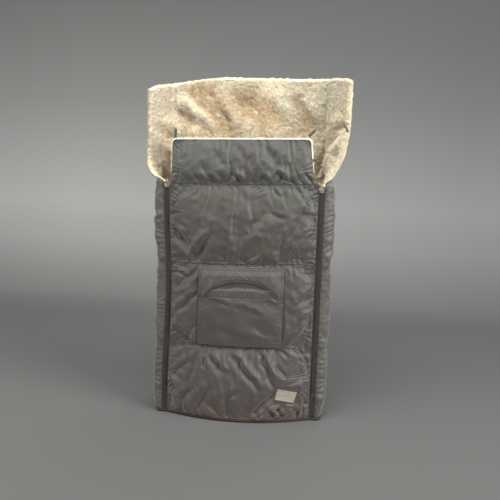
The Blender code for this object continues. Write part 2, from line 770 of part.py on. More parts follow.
def build_pull(side, hand):
    """Zip pull turned up: a flat tab with a window round the bridge and an eye at its end."""
    bar = PULL_THICKNESS / 2
    shoulder = PULL_LENGTH - PULL_HALF
    steps = [math.pi * index / (ROUND_STEPS / 2) for index in range(ROUND_STEPS // 2 + 1)]
    outline = [(PULL_HALF * math.cos(a), shoulder + PULL_HALF * math.sin(a)) for a in steps]
    outline += [(-PULL_HALF, -bar), (PULL_HALF, -bar)]
    window = [
        (-PULL_WINDOW_HALF, bar), (PULL_WINDOW_HALF, bar),
        (PULL_WINDOW_HALF, PULL_WINDOW_TOP), (-PULL_WINDOW_HALF, PULL_WINDOW_TOP)]
    eye = circle(PULL_EYE_RADIUS, 0, PULL_LENGTH - PULL_EYE_DROP)
    at = Matrix.Translation((hand * ZIP_HALF, ZIP_Y - pull_axis_depth(), slider_middle()))
    at @= Matrix.Rotation(-PULL_LEAN, 4, "X")
    plate(f"{side}_zip_pull", outline, [window, eye], -bar, bar, "slider", at)


def swell_at(z, low, high):
    """Crown of the channel between two seams at height z."""
    return crown((z - low) / (high - low))


def middle_face(x, z):
    """Outer face of the middle panel, as an offset from the seam surface."""
    return shell_face(x / PANEL_HALF, swell_at(z, LOWER_SEAM, MIDDLE_SEAM), FRONT_LOFT)


def pocket_lift(x, z):
    """Room between the pocket's cloth and the panel: none at the sewn sides and foot, full at the mouth."""
    foot = LOWER_SEAM + POCKET_SEAM_MARGIN
    rise = max(0, min(1, (z - foot) / (POCKET_MOUTH - foot)))
    across = 1 - abs(x / POCKET_HALF) ** POCKET_SIDE_POWER
    return POCKET_ROOM * across * math.sin(math.pi / 2 * rise) ** POCKET_RISE_POWER


def build_pocket():
    """Patch pocket with a gathered hem, under a facing with an arched edge."""
    columns = [POCKET_HALF * share for share in FRONT_SHARES]
    foot = LOWER_SEAM + POCKET_SEAM_MARGIN
    bag_rows = [foot + (POCKET_MOUTH - foot) * share for share in (0, 0.15, 0.35, 0.6, 0.8, 1)]
    clear = 2 * GAP

    def bag_inner(x, z):
        return middle_face(x, z) + clear + pocket_lift(x, z)

    slab(
        "pocket_bag", columns, bag_rows, front_place, bag_inner,
        lambda x, z: bag_inner(x, z) + POCKET_CLOTH, "shell")
    hem_foot = POCKET_MOUTH + GAP
    hem_top = POCKET_MOUTH + POCKET_HEM_HEIGHT
    slab(
        "pocket_hem", columns, [hem_foot, (hem_foot + hem_top) / 2, hem_top], front_place, bag_inner,
        lambda x, z: bag_inner(x, z) + POCKET_HEM_THICKNESS, "shell")

    top = MIDDLE_SEAM - POCKET_SEAM_MARGIN

    def facing_inner(x, z):
        settle = max(0, min(1, (top - z) / (top - hem_top) / FACING_SETTLE))
        cover = pocket_lift(x, z) + POCKET_HEM_THICKNESS
        return middle_face(x, z) + clear + (cover + clear) * settle ** FACING_SETTLE_POWER

    def facing_place(x, share):
        arch = max(0, 1 - abs(x / (POCKET_HALF - FACING_ARCH_INSET)) ** FACING_ARCH_POWER)
        low = FACING_SIDE_FOOT + (FACING_ARCH_TOP - FACING_SIDE_FOOT) * arch
        return low + (top - low) * share

    slab(
        "pocket_facing", columns, [0, 0.25, 0.5, 0.75, 1],
        lambda x, share: front_place(x, facing_place(x, share)),
        lambda x, share: facing_inner(x, facing_place(x, share)),
        lambda x, share: facing_inner(x, facing_place(x, share)) + FACING_CLOTH, "shell")


def toe_face(x, z):
    """Outer face of the toe panel, as an offset from the seam surface."""
    return shell_face(x / PANEL_HALF, swell_at(z, *LOWER_CHANNEL), FRONT_LOFT)


def build_label():
    """Blank woven label sewn to the toe, a little askew."""
    turn = Matrix.Rotation(LABEL_TILT, 2)

    def spot(across, up):
        at = turn @ Vector((across * LABEL_WIDTH / 2, up * LABEL_HEIGHT / 2))
        return PANEL_HALF - LABEL_INSET + at.x, LABEL_Z + at.y

    def place(across, up):
        return front_place(*spot(across, up))

    def inner(across, up):
        return toe_face(*spot(across, up)) + LABEL_THICKNESS

    slab(
        "woven_label", [-1, -0.5, 0, 0.5, 1], [-1, -0.5, 0, 0.5, 1], place, inner,
        lambda across, up: inner(across, up) + LABEL_THICKNESS, "label")


def ribbon_loop(name, base, direction, facing, length, finish_name="ribbon"):
    """A folded ribbon that stands out of an edge. direction is where it points, facing its broad side."""
    outer_radius = LOOP_EYE_RADIUS + LOOP_CLOTH
    tip = length - outer_radius
    neck = LOOP_CLOTH + SKIN
    outer, eye = [], []
    for index in range(ROUND_STEPS + 1):
        turn = math.pi / 2 + LOOP_EYE_TURN * (1 - 2 * index / ROUND_STEPS)
        outer.append((outer_radius * math.cos(turn), tip + outer_radius * math.sin(turn)))
        eye.append((LOOP_EYE_RADIUS * math.cos(turn), tip + LOOP_EYE_RADIUS * math.sin(turn)))
    eye.append((0, length / 2))
    outer += [(neck, length / 3), (neck, 0), (-neck, 0), (-neck, length / 3)]
    up = Vector(direction).normalized()
    out = Vector(facing).normalized()
    out = (out - up * out.dot(up)).normalized()
    across = up.cross(out)
    at = Matrix((
        (out.x, across.x, up.x, base[0]), (out.y, across.y, up.y, base[1]),
        (out.z, across.z, up.z, base[2]), (0, 0, 0, 1)))
    half = LOOP_WIDTH / 2
    plate(name, outer, [eye], -half, half, finish_name, at)


def build_loops():
    """Ribbon loops at the flap's corners, on its right edge, and on both wings of the headboard."""
    top = FLAP_TOP + LINING_PEEK + 2 * GAP
    lean = Vector((1, 0, 1)).normalized()
    corners = (("left", -1, (0, 0, 1), 0), ("right", 1, lean, LOOP_WIDTH / 2 * lean.x))
    for side, hand, direction, lift in corners:
        x = hand * (flap_half(FLAP_TOP, hand) - LOOP_WIDTH)
        y = front_place(x, FLAP_TOP)[0].y + LINING_THICKNESS / 2
        ribbon_loop(f"{side}_flap_loop", (x, y, top + lift), direction, (0, -1, 0), LOOP_LENGTH)
    side_loop_z = FLAP_TOP - FLAP_SIDE_LOOP_DROP
    edge, normal = front_place(flap_half(side_loop_z, 1), side_loop_z)
    base = edge + normal * (SEAM_THICKNESS / 2) + Vector((2 * GAP, 0, 0))
    ribbon_loop("right_flap_side_loop", base, (1, 0, 0), (0, -1, 0), FLAP_SIDE_LOOP_LENGTH)
    hood_loop_z = HOOD_FOLD + HOOD_LOOP_HEIGHT
    for side, hand in (("left", -1), ("right", 1)):
        edge, normal = side_place(0, hood_loop_z, hand)
        inner, _ = side_place(2, hood_loop_z, hand)
        inward = (inner - edge).normalized()
        base = edge - normal * (HOOD_LOOP_LIFT - LINING_BACK) + inward * HOOD_LOOP_INSET
        ribbon_loop(f"{side}_hood_loop", base, inward + Vector((0, 0, HOOD_LOOP_RISE)), -normal, LOOP_LENGTH)


def carry(name, place, pieces, parent=None):
    """An empty on a joint's axis, with the pieces that turn or slide there as its children."""
    pivot = bpy.data.objects.new(name, None)
    bpy.context.scene.collection.objects.link(pivot)
    pivot.location = place
    if parent:
        pivot.parent = parent
        pivot.matrix_parent_inverse = Matrix.Translation(parent.location).inverted()
    for piece in pieces:
        child = bpy.data.objects[piece]
        child.parent = pivot
        child.matrix_parent_inverse = Matrix.Translation(place).inverted()
    return pivot


def build_pivots():
    """Put every moving piece under an empty that lies on its joint's axis."""
    fold_z = (COVER_FOLD_FOOT + COVER_FOLD_TOP) / 2
    fold_y = ZIP_Y - front_bulge(fold_z) - FRONT_LOFT - COVER_AXIS_CLEARANCE
    cover = carry("cover_pivot", (0, fold_y, fold_z), [
        "cover_fold_shell", "cover_fold_lining", "lower_shell", "middle_shell", "upper_shell", "cover_lining",
        "left_zip_cover_tape", "right_zip_cover_tape", "left_zip_cover_chain", "right_zip_cover_chain",
        "pocket_bag", "pocket_hem", "pocket_facing"])
    flap_y = ZIP_Y - front_bulge(ZIP_TOP) - SEAM_THICKNESS - FLAP_AXIS_CLEARANCE
    carry("flap_pivot", (0, flap_y, ZIP_TOP), [
        "flap_shell", "flap_lining", "left_flap_loop", "right_flap_loop", "right_flap_side_loop"], cover)
    carry("headboard_pivot", (0, BACK_Y + SEAM_THICKNESS, HOOD_FOLD), [
        "hood_shell", "hood_lining", "left_hood_loop", "right_hood_loop"])
    for side, hand in (("left", -1), ("right", 1)):
        slider = carry(
            f"{side}_slider_pivot", (hand * ZIP_HALF, ZIP_Y, slider_middle()), [f"{side}_zip_slider"])
        bar = (hand * ZIP_HALF, ZIP_Y - pull_axis_depth(), slider_middle())
        carry(f"{side}_pull_pivot", bar, [f"{side}_zip_pull"], slider)


def main():
    clear_scene()
    build_back()
    build_sides()
    build_sole()
    build_front()
    build_flap()
    build_hood()
    for side, hand in (("left", -1), ("right", 1)):
        build_zip(side, hand)
        build_slider(side, hand)
        build_pull(side, hand)
    build_pocket()
    build_label()
    build_loops()
    build_pivots()


main()
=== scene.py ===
"""Looks of a padded stroller footmuff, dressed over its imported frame.

Quilted nylon panels between seams, cream fleece inside and over the headboard, two coil zips, a patch pocket
with an arched facing, a blank woven label, ribbon loops and bound harness slots. Metres, +Z up, -Y front.
"""

import logging
import math
from collections.abc import Callable, Iterator, Sequence
from contextlib import contextmanager
from dataclasses import dataclass, field
from enum import Enum
from functools import cached_property

import bmesh
import bpy
import numpy as np
from mathutils import Matrix, Vector, noise


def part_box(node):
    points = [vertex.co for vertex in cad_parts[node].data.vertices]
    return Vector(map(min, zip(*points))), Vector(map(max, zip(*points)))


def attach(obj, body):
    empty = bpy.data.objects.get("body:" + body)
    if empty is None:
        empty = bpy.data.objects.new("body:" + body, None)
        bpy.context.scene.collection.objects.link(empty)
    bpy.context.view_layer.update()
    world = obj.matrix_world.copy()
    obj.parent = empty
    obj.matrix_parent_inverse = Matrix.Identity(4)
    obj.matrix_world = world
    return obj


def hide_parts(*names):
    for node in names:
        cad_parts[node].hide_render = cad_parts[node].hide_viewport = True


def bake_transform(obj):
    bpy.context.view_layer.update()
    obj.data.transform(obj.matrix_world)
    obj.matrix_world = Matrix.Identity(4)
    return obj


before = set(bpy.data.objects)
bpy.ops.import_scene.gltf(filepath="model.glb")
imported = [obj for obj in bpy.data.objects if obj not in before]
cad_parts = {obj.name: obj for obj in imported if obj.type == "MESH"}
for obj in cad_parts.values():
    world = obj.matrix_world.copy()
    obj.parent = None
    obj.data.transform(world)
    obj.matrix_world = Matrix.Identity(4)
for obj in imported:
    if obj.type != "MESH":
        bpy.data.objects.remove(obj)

Array = np.ndarray
Surface = tuple[Array, Array]
Place = Callable[[Array, Array], Surface]
Bend = tuple[str, str, Vector, Vector]
Body = str | Bend

SKIN = 0.00015
LINING_FACE = -0.00175
LINING_BACK = -0.00675
LAST_STOP = 12
TOUCH = 1e-6
logging.basicConfig(level=logging.INFO, format="%(message)s")
LOG = logging.getLogger("footmuff")


class Hand(Enum):
    """Side of the footmuff, as its sign on X."""

    LEFT = -1
    RIGHT = 1

    @property
    def word(self) -> str:
        """The side's name in lower case."""
        return self.name.lower()


@dataclass(frozen=True)
class Form:
    """The seam surfaces that every layer is measured from.

    The heights and widths are read off the frame, and the fields with a value are the curves' own sizes.
    """

    zip_half: float
    zip_y: float
    back_y: float
    tape_shown: float
    tape_width: float
    foot: float
    fold_low: float
    fold_high: float
    lower_seam: float
    middle_seam: float
    zip_top: float
    flap_top: float
    hood_fold: float
    hood_top: float
    sole_bulge: float = 0.045
    top_bulge: float = 0.010
    corner: float = 0.016
    tuck_height: float = 0.070
    tuck_share: float = 0.20
    wing_out: float = 0.062
    wing_back: float = 0.065
    bend_out: float = 0.022
    bend_ahead: float = 0.028
    wing_turn: float = 7.0
    wing_open: float = 15.0
    left_flare: float = 40.0
    right_flare: float = 4.8
    wing_pinch: float = 0.6
    seam_tilt: float = 0.030
    zip_bow: float = 0.008
    bow_low: float = 0.105
    bow_high: float = 0.600
    corner_drop: float = 0.006
    left_drop: float = 0.033
    right_drop: float = -0.004
    level_half: float = 0.050
    drop_power: float = 1.6
    flap_left_taper: float = 0.006
    flap_right_taper: float = 0.0255
    flap_taper_power: float = 0.4
    flap_round: float = 0.007

    @classmethod
    def measure(cls) -> "Form":
        """Read the sizes off the frame's nodes."""
        tape_low, tape_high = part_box("right_zip_side_tape")
        middle_low, middle_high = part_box("middle_shell")
        fold_low, fold_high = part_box("cover_fold_shell")
        zip_half = tape_low.x - SKIN
        return cls(
            zip_half=zip_half,
            zip_y=tape_low.y - SKIN,
            back_y=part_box("back_shell")[0].y - SKIN,
            tape_shown=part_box("right_side_shell")[0].x - zip_half,
            tape_width=tape_high.x - zip_half,
            foot=tape_low.z,
            fold_low=fold_low.z - SKIN,
            fold_high=fold_high.z + SKIN,
            lower_seam=middle_low.z - SKIN,
            middle_seam=middle_high.z + SKIN,
            zip_top=tape_high.z,
            flap_top=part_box("flap_shell")[1].z,
            hood_fold=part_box("hood_shell")[0].z - SKIN,
            hood_top=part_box("hood_shell")[1].z)

    @property
    def panel_half(self) -> float:
        """Half the width of a front panel."""
        return self.zip_half - self.tape_shown

    @property
    def arc_x(self) -> float:
        """Where the wall's rounded corners start."""
        return self.zip_half + self.tape_width + 4 * SKIN

    @cached_property
    def wall_lengths(self) -> tuple[Array, Array]:
        """Stops along the wall's plan, and the length walked to each."""
        stops = np.linspace(0, LAST_STOP, 10 * LAST_STOP + 1)
        steps = np.linalg.norm(np.diff(self.wall_plan(stops), axis=0), axis=1)
        return stops, np.concatenate([[0], np.cumsum(steps)])

    @property
    def wall_length(self) -> float:
        """Length of a side wall from the zip to the rear corner."""
        return float(self.wall_lengths[1][-1])

    @property
    def ring_half(self) -> float:
        """Half the length round the back from wing edge to wing edge."""
        return self.arc_x + self.wall_length

    def front(self, x: Array, z: Array) -> Surface:
        """Points and outward normals of the front's seam surface.

        Args:
            x: places across.
            z: heights.

        Returns:
            Points and unit normals, with the arguments' shape.
        """
        x, z = np.broadcast_arrays(np.asarray(x, float), np.asarray(z, float))
        bulge = self.sole_bulge + (self.top_bulge - self.sole_bulge) * z / self.zip_top
        spread = x / self.panel_half
        lean = 2 * bulge * spread / self.panel_half
        points = np.stack([x, self.zip_y - bulge * (1 - spread ** 2), z], -1)
        normals = np.stack([lean, -np.ones_like(lean), np.zeros_like(lean)], -1)
        return self.bowed(points), unit(normals)

    def bowed(self, points: Array) -> Array:
        """Points moved with the left zip, which bows in between its ends."""
        x, y, z = np.moveaxis(points, -1, 0)
        rise = np.clip((z - self.bow_low) / (self.bow_high - self.bow_low), 0, 1)
        share = np.clip(-x / self.zip_half, 0, 1) * np.clip((self.back_y - y) / (self.back_y - self.zip_y), 0, 1)
        return np.stack([x + self.zip_bow * share * np.sin(math.pi * rise) ** 1.5, y, z], -1)

    def level(self, x: Array, z: Array) -> Array:
        """Heights of the front's places, whose upper seams climb a little to the right."""
        rise = np.clip((z - self.lower_seam) / (self.middle_seam - self.lower_seam), 0, 1)
        return z + self.seam_tilt * x * rise * rise * (3 - 2 * rise)

    def panel(self, x: Array, z: Array) -> Surface:
        """As front, for what is sewn between the zips."""
        return self.front(x, self.level(x, z))

    def flap_half(self, z: Array, side: Array) -> Array:
        """The flap's width from its middle to one side at height z. side is above 0 on the right."""
        taper = np.where(side > 0, self.flap_right_taper, self.flap_left_taper)
        rise = np.clip((z - self.zip_top) / (self.flap_top - self.zip_top), 0, 1)
        over = np.clip((z - self.flap_top) / self.flap_round + 1, 0, 1)
        return self.panel_half - taper * rise ** self.flap_taper_power - self.flap_round * (1 - np.sqrt(1 - over ** 2))

    def wall_plan(self, stops: Array) -> Array:
        """Plan points of the right wall below the headboard, from the zip back to the rear corner."""
        first = np.clip((stops - 1) / 4, 0, 1) * math.pi / 2
        second = np.clip((stops - 8) / 4, 0, 1) * math.pi / 2
        front_y, rear_y = self.zip_y + self.corner, self.back_y - self.corner
        start = self.zip_half + self.tape_shown
        x = self.arc_x + self.corner * np.where(stops < 8, np.sin(first), np.cos(second))
        x = np.where(stops < 1, start + (self.arc_x - start) * stops, x)
        flat = front_y + (rear_y - front_y) * np.clip((stops - 5) / 3, 0, 1)
        y = flat - self.corner * np.cos(first) * (stops < 5) + self.corner * np.sin(second)
        return np.stack([x, y], -1)

    def wing_plan(self, stops: Array, spread: Array) -> Array:
        """Plan points of the open wing. spread is 0 where it leaves the zip and 1 at the headboard's top."""
        t = np.asarray(stops) / LAST_STOP
        near, middle, far = (1 - t) ** 2, 2 * t * (1 - t), t ** 2
        bend_out = self.bend_out * (1 - self.wing_pinch * (1 - spread))
        x = near * (self.zip_half + self.wing_out * spread) + middle * (self.zip_half + bend_out) + far * self.arc_x
        y = near * (self.zip_y + self.wing_back) + middle * (self.back_y - self.bend_ahead) + far * self.back_y
        return np.stack([x, y], -1)

    def wall(self, stops: Array, z: Array, hand: Array) -> Surface:
        """Points and outward normals of a side wall and its wing.

        Args:
            stops: places along the wall, 0 at the zip and LAST_STOP at the rear corner.
            z: heights.
            hand: 1 on the right and -1 on the left.

        Returns:
            Points and unit normals.
        """
        stops, z, hand = np.broadcast_arrays(np.asarray(stops, float), z, hand)

        def plan(at: Array) -> Array:
            rise = np.clip((z - self.zip_top) / (self.hood_top - self.zip_top), 0, 1)
            share = 1 - (1 - rise[..., None]) ** np.array([self.wing_open, self.wing_turn])
            spread = 1 - (1 - rise) ** np.where(hand < 0, self.left_flare, self.right_flare)
            low = self.wall_plan(at)
            drop = np.clip(1 - z / self.tuck_height, 0, 1)
            full = 1 - (1 - self.tuck_share) * (1 - np.sqrt(1 - drop ** 2))
            x = self.arc_x + (low[..., 0] - self.arc_x) * np.where(low[..., 0] > self.arc_x, full, 1)
            low = np.stack([x, low[..., 1]], -1)
            return low * (1 - share) + self.wing_plan(at, spread) * share

        spot = plan(stops)
        ahead = plan(np.clip(stops + 0.3, 0, LAST_STOP)) - plan(np.clip(stops - 0.3, 0, LAST_STOP))
        points = np.stack([hand * spot[..., 0], spot[..., 1], z], -1)
        normals = np.stack([hand * ahead[..., 1], -ahead[..., 0], np.zeros_like(z)], -1)
        return self.bowed(points), unit(normals)

    def ring(self, along: Array, z: Array) -> Surface:
        """Points and normals round the back. along is 0 at the back's middle and grows to the right wing."""
        along, z = np.broadcast_arrays(np.asarray(along, float), np.asarray(z, float))
        stops, lengths = self.wall_lengths
        walked = self.wall_length - np.clip(np.abs(along) - self.arc_x, 0, None)
        side, side_normal = self.wall(np.interp(walked, lengths, stops), z, np.sign(along))
        back = np.stack([along, np.full_like(z, self.back_y), z], -1)
        on_back = (np.abs(along) <= self.arc_x)[..., None]
        return np.where(on_back, back, side), np.where(on_back, np.array([0.0, 1.0, 0.0]), side_normal)

    def hood_top_at(self, along: Array) -> Array:
        """Height of the headboard's top edge round the ring."""
        spot, _ = self.ring(along, np.full_like(along, self.hood_top))
        out = np.clip(np.abs(spot[..., 0]) - self.level_half, 0, None)
        out = out / (self.zip_half + self.wing_out - self.level_half)
        drop = np.where(along < 0, self.left_drop, self.right_drop) * out ** self.drop_power
        edge = np.clip((np.abs(along) - self.ring_half) / self.corner + 1, 0, 1)
        return self.hood_top - drop - self.corner_drop * edge ** 2


def unit(vectors: Array) -> Array:
    """Vectors scaled to length 1."""
    return vectors / np.linalg.norm(vectors, axis=-1, keepdims=True)


def bell(value: Array, width: float, middle: float = 0.0) -> Array:
    """1 where a value is at the middle, falling to 0 within about two widths."""
    return np.exp(-((value - middle) / width) ** 2)


def lattice(columns: Array, rows: Array) -> Sequence[Array]:
    """Each point's column value and row value, columns by rows."""
    return np.meshgrid(columns, rows, indexing="ij")


def waves(u: Array, v: Array, length: float, seed: int, count: int = 10) -> Array:
    """Smooth noise, mostly from -1 to 1, whose hills are about length apart."""
    random = np.random.default_rng(seed)
    total = np.zeros(np.broadcast(u, v).shape)
    for _ in range(count):
        turn, phase, pace = random.uniform(0, math.tau), random.uniform(0, math.tau), random.uniform(0.55, 1.5)
        total = total + np.sin(math.tau * pace / length * (u * math.cos(turn) + v * math.sin(turn)) + phase)
    return total / math.sqrt(2 * count)


def gathers(along: Array, away: Array, pitch: float, reach: float, seed: int) -> Array:
    """Small tucks that run away from a seam and fade out.

    Args:
        along: place along the seam.
        away: distance from the seam.
        pitch: usual distance between two tucks.
        reach: how far the tucks run.
        seed: picks their places.

    Returns:
        Depth from 0 down to -1.
    """
    still = np.zeros_like(along)
    lean = 0.9 * waves(along, still, 7 * pitch, seed + 1)
    phase = along / pitch + 0.55 * waves(along, away, 5 * pitch, seed) + lean * away / pitch
    tuck = 1 - np.abs(np.sin(math.pi * phase)) ** 0.7
    strength = np.clip(0.5 + 0.8 * waves(along, still, 2.7 * pitch, seed + 2), 0, 1.3)
    return -tuck * strength * np.exp(-(away / reach) ** 1.2)


def smoothed(values: Array, reach: int) -> Array:
    """A grid averaged over reach points each way, twice."""
    window = 2 * reach + 1
    for _ in range(2):
        for axis in (0, 1):
            spare = [(reach + 1, reach) if number == axis else (0, 0) for number in (0, 1)]
            total = np.cumsum(np.pad(values, spare, mode="edge"), axis=axis)
            count = total.shape[axis]
            late = np.take(total, range(window, count), axis=axis)
            values = (late - np.take(total, range(count - window), axis=axis)) / window
    return values


@dataclass(frozen=True)
class Fold:
    """A crease in padded cloth between two places on X and Z, with a ridge on one side of it."""

    start: tuple[float, float]
    end: tuple[float, float]
    depth: float = 0.003
    width: float = 0.006
    lip: float = 0.6
    side: int = 1
    wander: float = 0.35
    ridge_off: float = 1.8
    ridge_width: float = 1.4
    end_power: float = 2.5

    def lift(self, x: Array, z: Array) -> Array:
        """How far the cloth rises, or sinks where negative, at each place."""
        run = np.subtract(self.end, self.start)
        length = float(np.hypot(*run))
        across_x, across_z = x - self.start[0], z - self.start[1]
        share = (across_x * run[0] + across_z * run[1]) / length ** 2
        bend = self.wander * self.width * waves(x, z, 5 * self.width, int(1e4 * abs(self.start[0] + self.end[1])), 6)
        off = (across_z * run[0] - across_x * run[1]) / length + bend
        fade = np.clip(1 - np.abs(2 * share - 1) ** self.end_power, 0, 1)
        outside = np.clip(np.maximum(-share, share - 1), 0, None) * length / self.width
        ridge = bell(off, self.ridge_width * self.width, self.side * self.ridge_off * self.width)
        return self.depth * fade * bell(outside, 1.0) * (self.lip * ridge - bell(off, self.width))


@dataclass
class Patchwork:
    """Collects grids of points into one mesh."""

    points: list[Array] = field(default_factory=list)
    faces: list[tuple[int, ...]] = field(default_factory=list)
    spreads: list[Array] = field(default_factory=list)
    lofts: list[Array] = field(default_factory=list)
    count: int = 0

    def grid(self, points: Array, spread: Array | None = None, loft: Array | None = None,
             round_: bool = False) -> Array:
        """Add a grid of points.

        Args:
            points: array of columns by rows by 3.
            spread: places on the flat cloth, columns by rows by 2.
            loft: 0 in the seams to 1 on the crown, columns by rows.
            round_: whether the last column joins the first.

        Returns:
            The points' indices, columns by rows.
        """
        columns, rows = points.shape[:2]
        index = self.count + np.arange(columns * rows).reshape(columns, rows)
        self.count += columns * rows
        self.points.append(points.reshape(-1, 3))
        self.spreads.append((points[..., [0, 2]] if spread is None else spread).reshape(-1, 2))
        self.lofts.append((np.ones((columns, rows)) if loft is None else loft).reshape(-1))
        if rows > 1:
            used = np.concatenate([index, index[:1]]) if round_ else index
            quads = np.stack([used[:-1, :-1], used[1:, :-1], used[1:, 1:], used[:-1, 1:]], -1).reshape(-1, 4)
            self.faces += [tuple(quad) for quad in quads.tolist()]
        return index

    def bridge(self, first: Sequence[int], second: Sequence[int]) -> None:
        """Join two lines of points that may differ in count with triangles and quads."""
        i, j = 0, 0
        a, b = [int(n) for n in first], [int(n) for n in second]
        while i < len(a) - 1 or j < len(b) - 1:
            next_a = (i + 1) / (len(a) - 1) if i < len(a) - 1 else 2
            next_b = (j + 1) / (len(b) - 1) if j < len(b) - 1 else 2
            if abs(next_a - next_b) < 1e-9:
                self.faces.append((a[i], a[i + 1], b[j + 1], b[j]))
                i, j = i + 1, j + 1
            elif next_a < next_b:
                self.faces.append((a[i], a[i + 1], b[j]))
                i += 1
            else:
                self.faces.append((a[i], b[j + 1], b[j]))
                j += 1

    def rims(self, first: Array, second: Array) -> None:
        """Close the four borders between two grids."""
        for edge in (np.s_[:, 0], np.s_[:, -1], np.s_[0, :], np.s_[-1, :]):
            self.bridge(first[edge], second[edge])

    def build(self, name: str, finish: bpy.types.Material, smooth_angle: float | None = None) -> bpy.types.Object:
        """Make the mesh, with its faces outward, as an object at the origin."""
        mesh = bpy.data.meshes.new(name)
        mesh.from_pydata(np.concatenate(self.points).tolist(), [], self.faces)
        lay_flat(mesh, np.concatenate(self.spreads))
        store(mesh, "loft", np.concatenate(self.lofts))
        with editing(mesh) as bm:
            bmesh.ops.recalc_face_normals(bm, faces=bm.faces)
        mesh.shade_smooth()
        if smooth_angle:
            mesh.set_sharp_from_angle(angle=smooth_angle)
        return new_object(name, mesh, finish)


@contextmanager
def editing(mesh: bpy.types.Mesh) -> Iterator[bmesh.types.BMesh]:
    """A mesh's points and faces to edit, written back at the end."""
    bm = bmesh.new()
    bm.from_mesh(mesh)
    yield bm
    bm.to_mesh(mesh)
    bm.free()


def store(mesh: bpy.types.Mesh, name: str, values: Array) -> None:
    """Keep a number or a vector at each point of a mesh."""
    kind, key = ("FLOAT_VECTOR", "vector") if values.ndim == 2 else ("FLOAT", "value")
    layer = mesh.attributes.new(name, kind, "POINT")
    layer.data.foreach_set(key, values.astype(np.float32).ravel())


def lay_flat(mesh: bpy.types.Mesh, places: Array) -> None:
    """Keep each point's place on the flat cloth as the mesh's UV layer."""
    corners = np.zeros(len(mesh.loops), np.int32)
    mesh.loops.foreach_get("vertex_index", corners)
    layer = mesh.uv_layers.new(name="cloth")
    layer.data.foreach_set("uv", places[corners].astype(np.float32).ravel())


def points_of(mesh: bpy.types.Mesh) -> Array:
    """A mesh's points."""
    points = np.zeros(len(mesh.vertices) * 3, np.float32)
    mesh.vertices.foreach_get("co", points)
    return points.reshape(-1, 3).astype(float)


def put_points(mesh: bpy.types.Mesh, points: Array) -> None:
    """Move a mesh's points."""
    mesh.vertices.foreach_set("co", points.astype(np.float32).ravel())
    mesh.update()


def linked(name: str, data: bpy.types.ID) -> bpy.types.Object:
    """A mesh, lamp or camera as an object of the scene."""
    obj = bpy.data.objects.new(name, data)
    bpy.context.scene.collection.objects.link(obj)
    return obj


def new_object(name: str, mesh: bpy.types.Mesh, finish: bpy.types.Material) -> bpy.types.Object:
    """Link a mesh to the scene with one material."""
    obj = linked(name, mesh)
    mesh.materials.clear()
    mesh.materials.append(finish)
    return obj


def settle(obj: bpy.types.Object) -> bpy.types.Object:
    """Apply every modifier, and keep the result as the object's own mesh."""
    depsgraph = bpy.context.evaluated_depsgraph_get()
    mesh = bpy.data.meshes.new_from_object(obj.evaluated_get(depsgraph))
    obj.modifiers.clear()
    obj.data = mesh
    return obj


def subdivide(obj: bpy.types.Object) -> bpy.types.Object:
    """Round a mesh with one level of Subdivision Surface, and apply it."""
    modifier = obj.modifiers.new("round", "SUBSURF")
    modifier.levels = modifier.render_levels = 1
    return settle(obj)


def soften(obj: bpy.types.Object, width: float, sharp: float) -> None:
    """Round a piece's edges, and keep those sharp that still turn by more than an angle."""
    bevel = obj.modifiers.new("edges", "BEVEL")
    bevel.width = width
    bevel.segments = 2
    bevel.limit_method = "ANGLE"
    settle(obj)
    obj.data.shade_smooth()
    obj.data.set_sharp_from_angle(angle=sharp)


def spaced(stops: Sequence[float], step: float) -> Array:
    """Places that include each stop, with about step between neighbours."""
    parts = [np.linspace(a, b, max(2, round((b - a) / step) + 1))[:-1] for a, b in zip(stops, stops[1:])]
    return np.concatenate([*parts, [stops[-1]]])


def shell_between(name: str, outer: Array, inner: Array, spread: Array, finish: bpy.types.Material,
                  loft: Array | None = None, coarse: int = 6) -> bpy.types.Object:
    """A closed piece between two faces, with fewer points on the inner one.

    Args:
        name: the piece's name.
        outer: points of the outer face, columns by rows by 3.
        inner: points of the inner face, on the same grid.
        spread: places on the flat cloth.
        finish: the material.
        loft: 0 in the seams to 1 on the crown.
        coarse: how many rows and columns of the outer face one of the inner face spans.

    Returns:
        The object.
    """
    work = Patchwork()
    front = work.grid(outer, spread, loft)
    columns = thinned(outer.shape[0], coarse)
    rows = thinned(outer.shape[1], coarse)
    picked = np.ix_(columns, rows)
    rear = work.grid(inner[picked], spread[picked], None if loft is None else loft[picked])
    work.rims(front, rear)
    return work.build(name, finish)


def thinned(count: int, coarse: int) -> Array:
    """Evenly picked indices that keep the first and the last."""
    return np.unique(np.round(np.linspace(0, count - 1, max(3, count // coarse + 1))).astype(int))


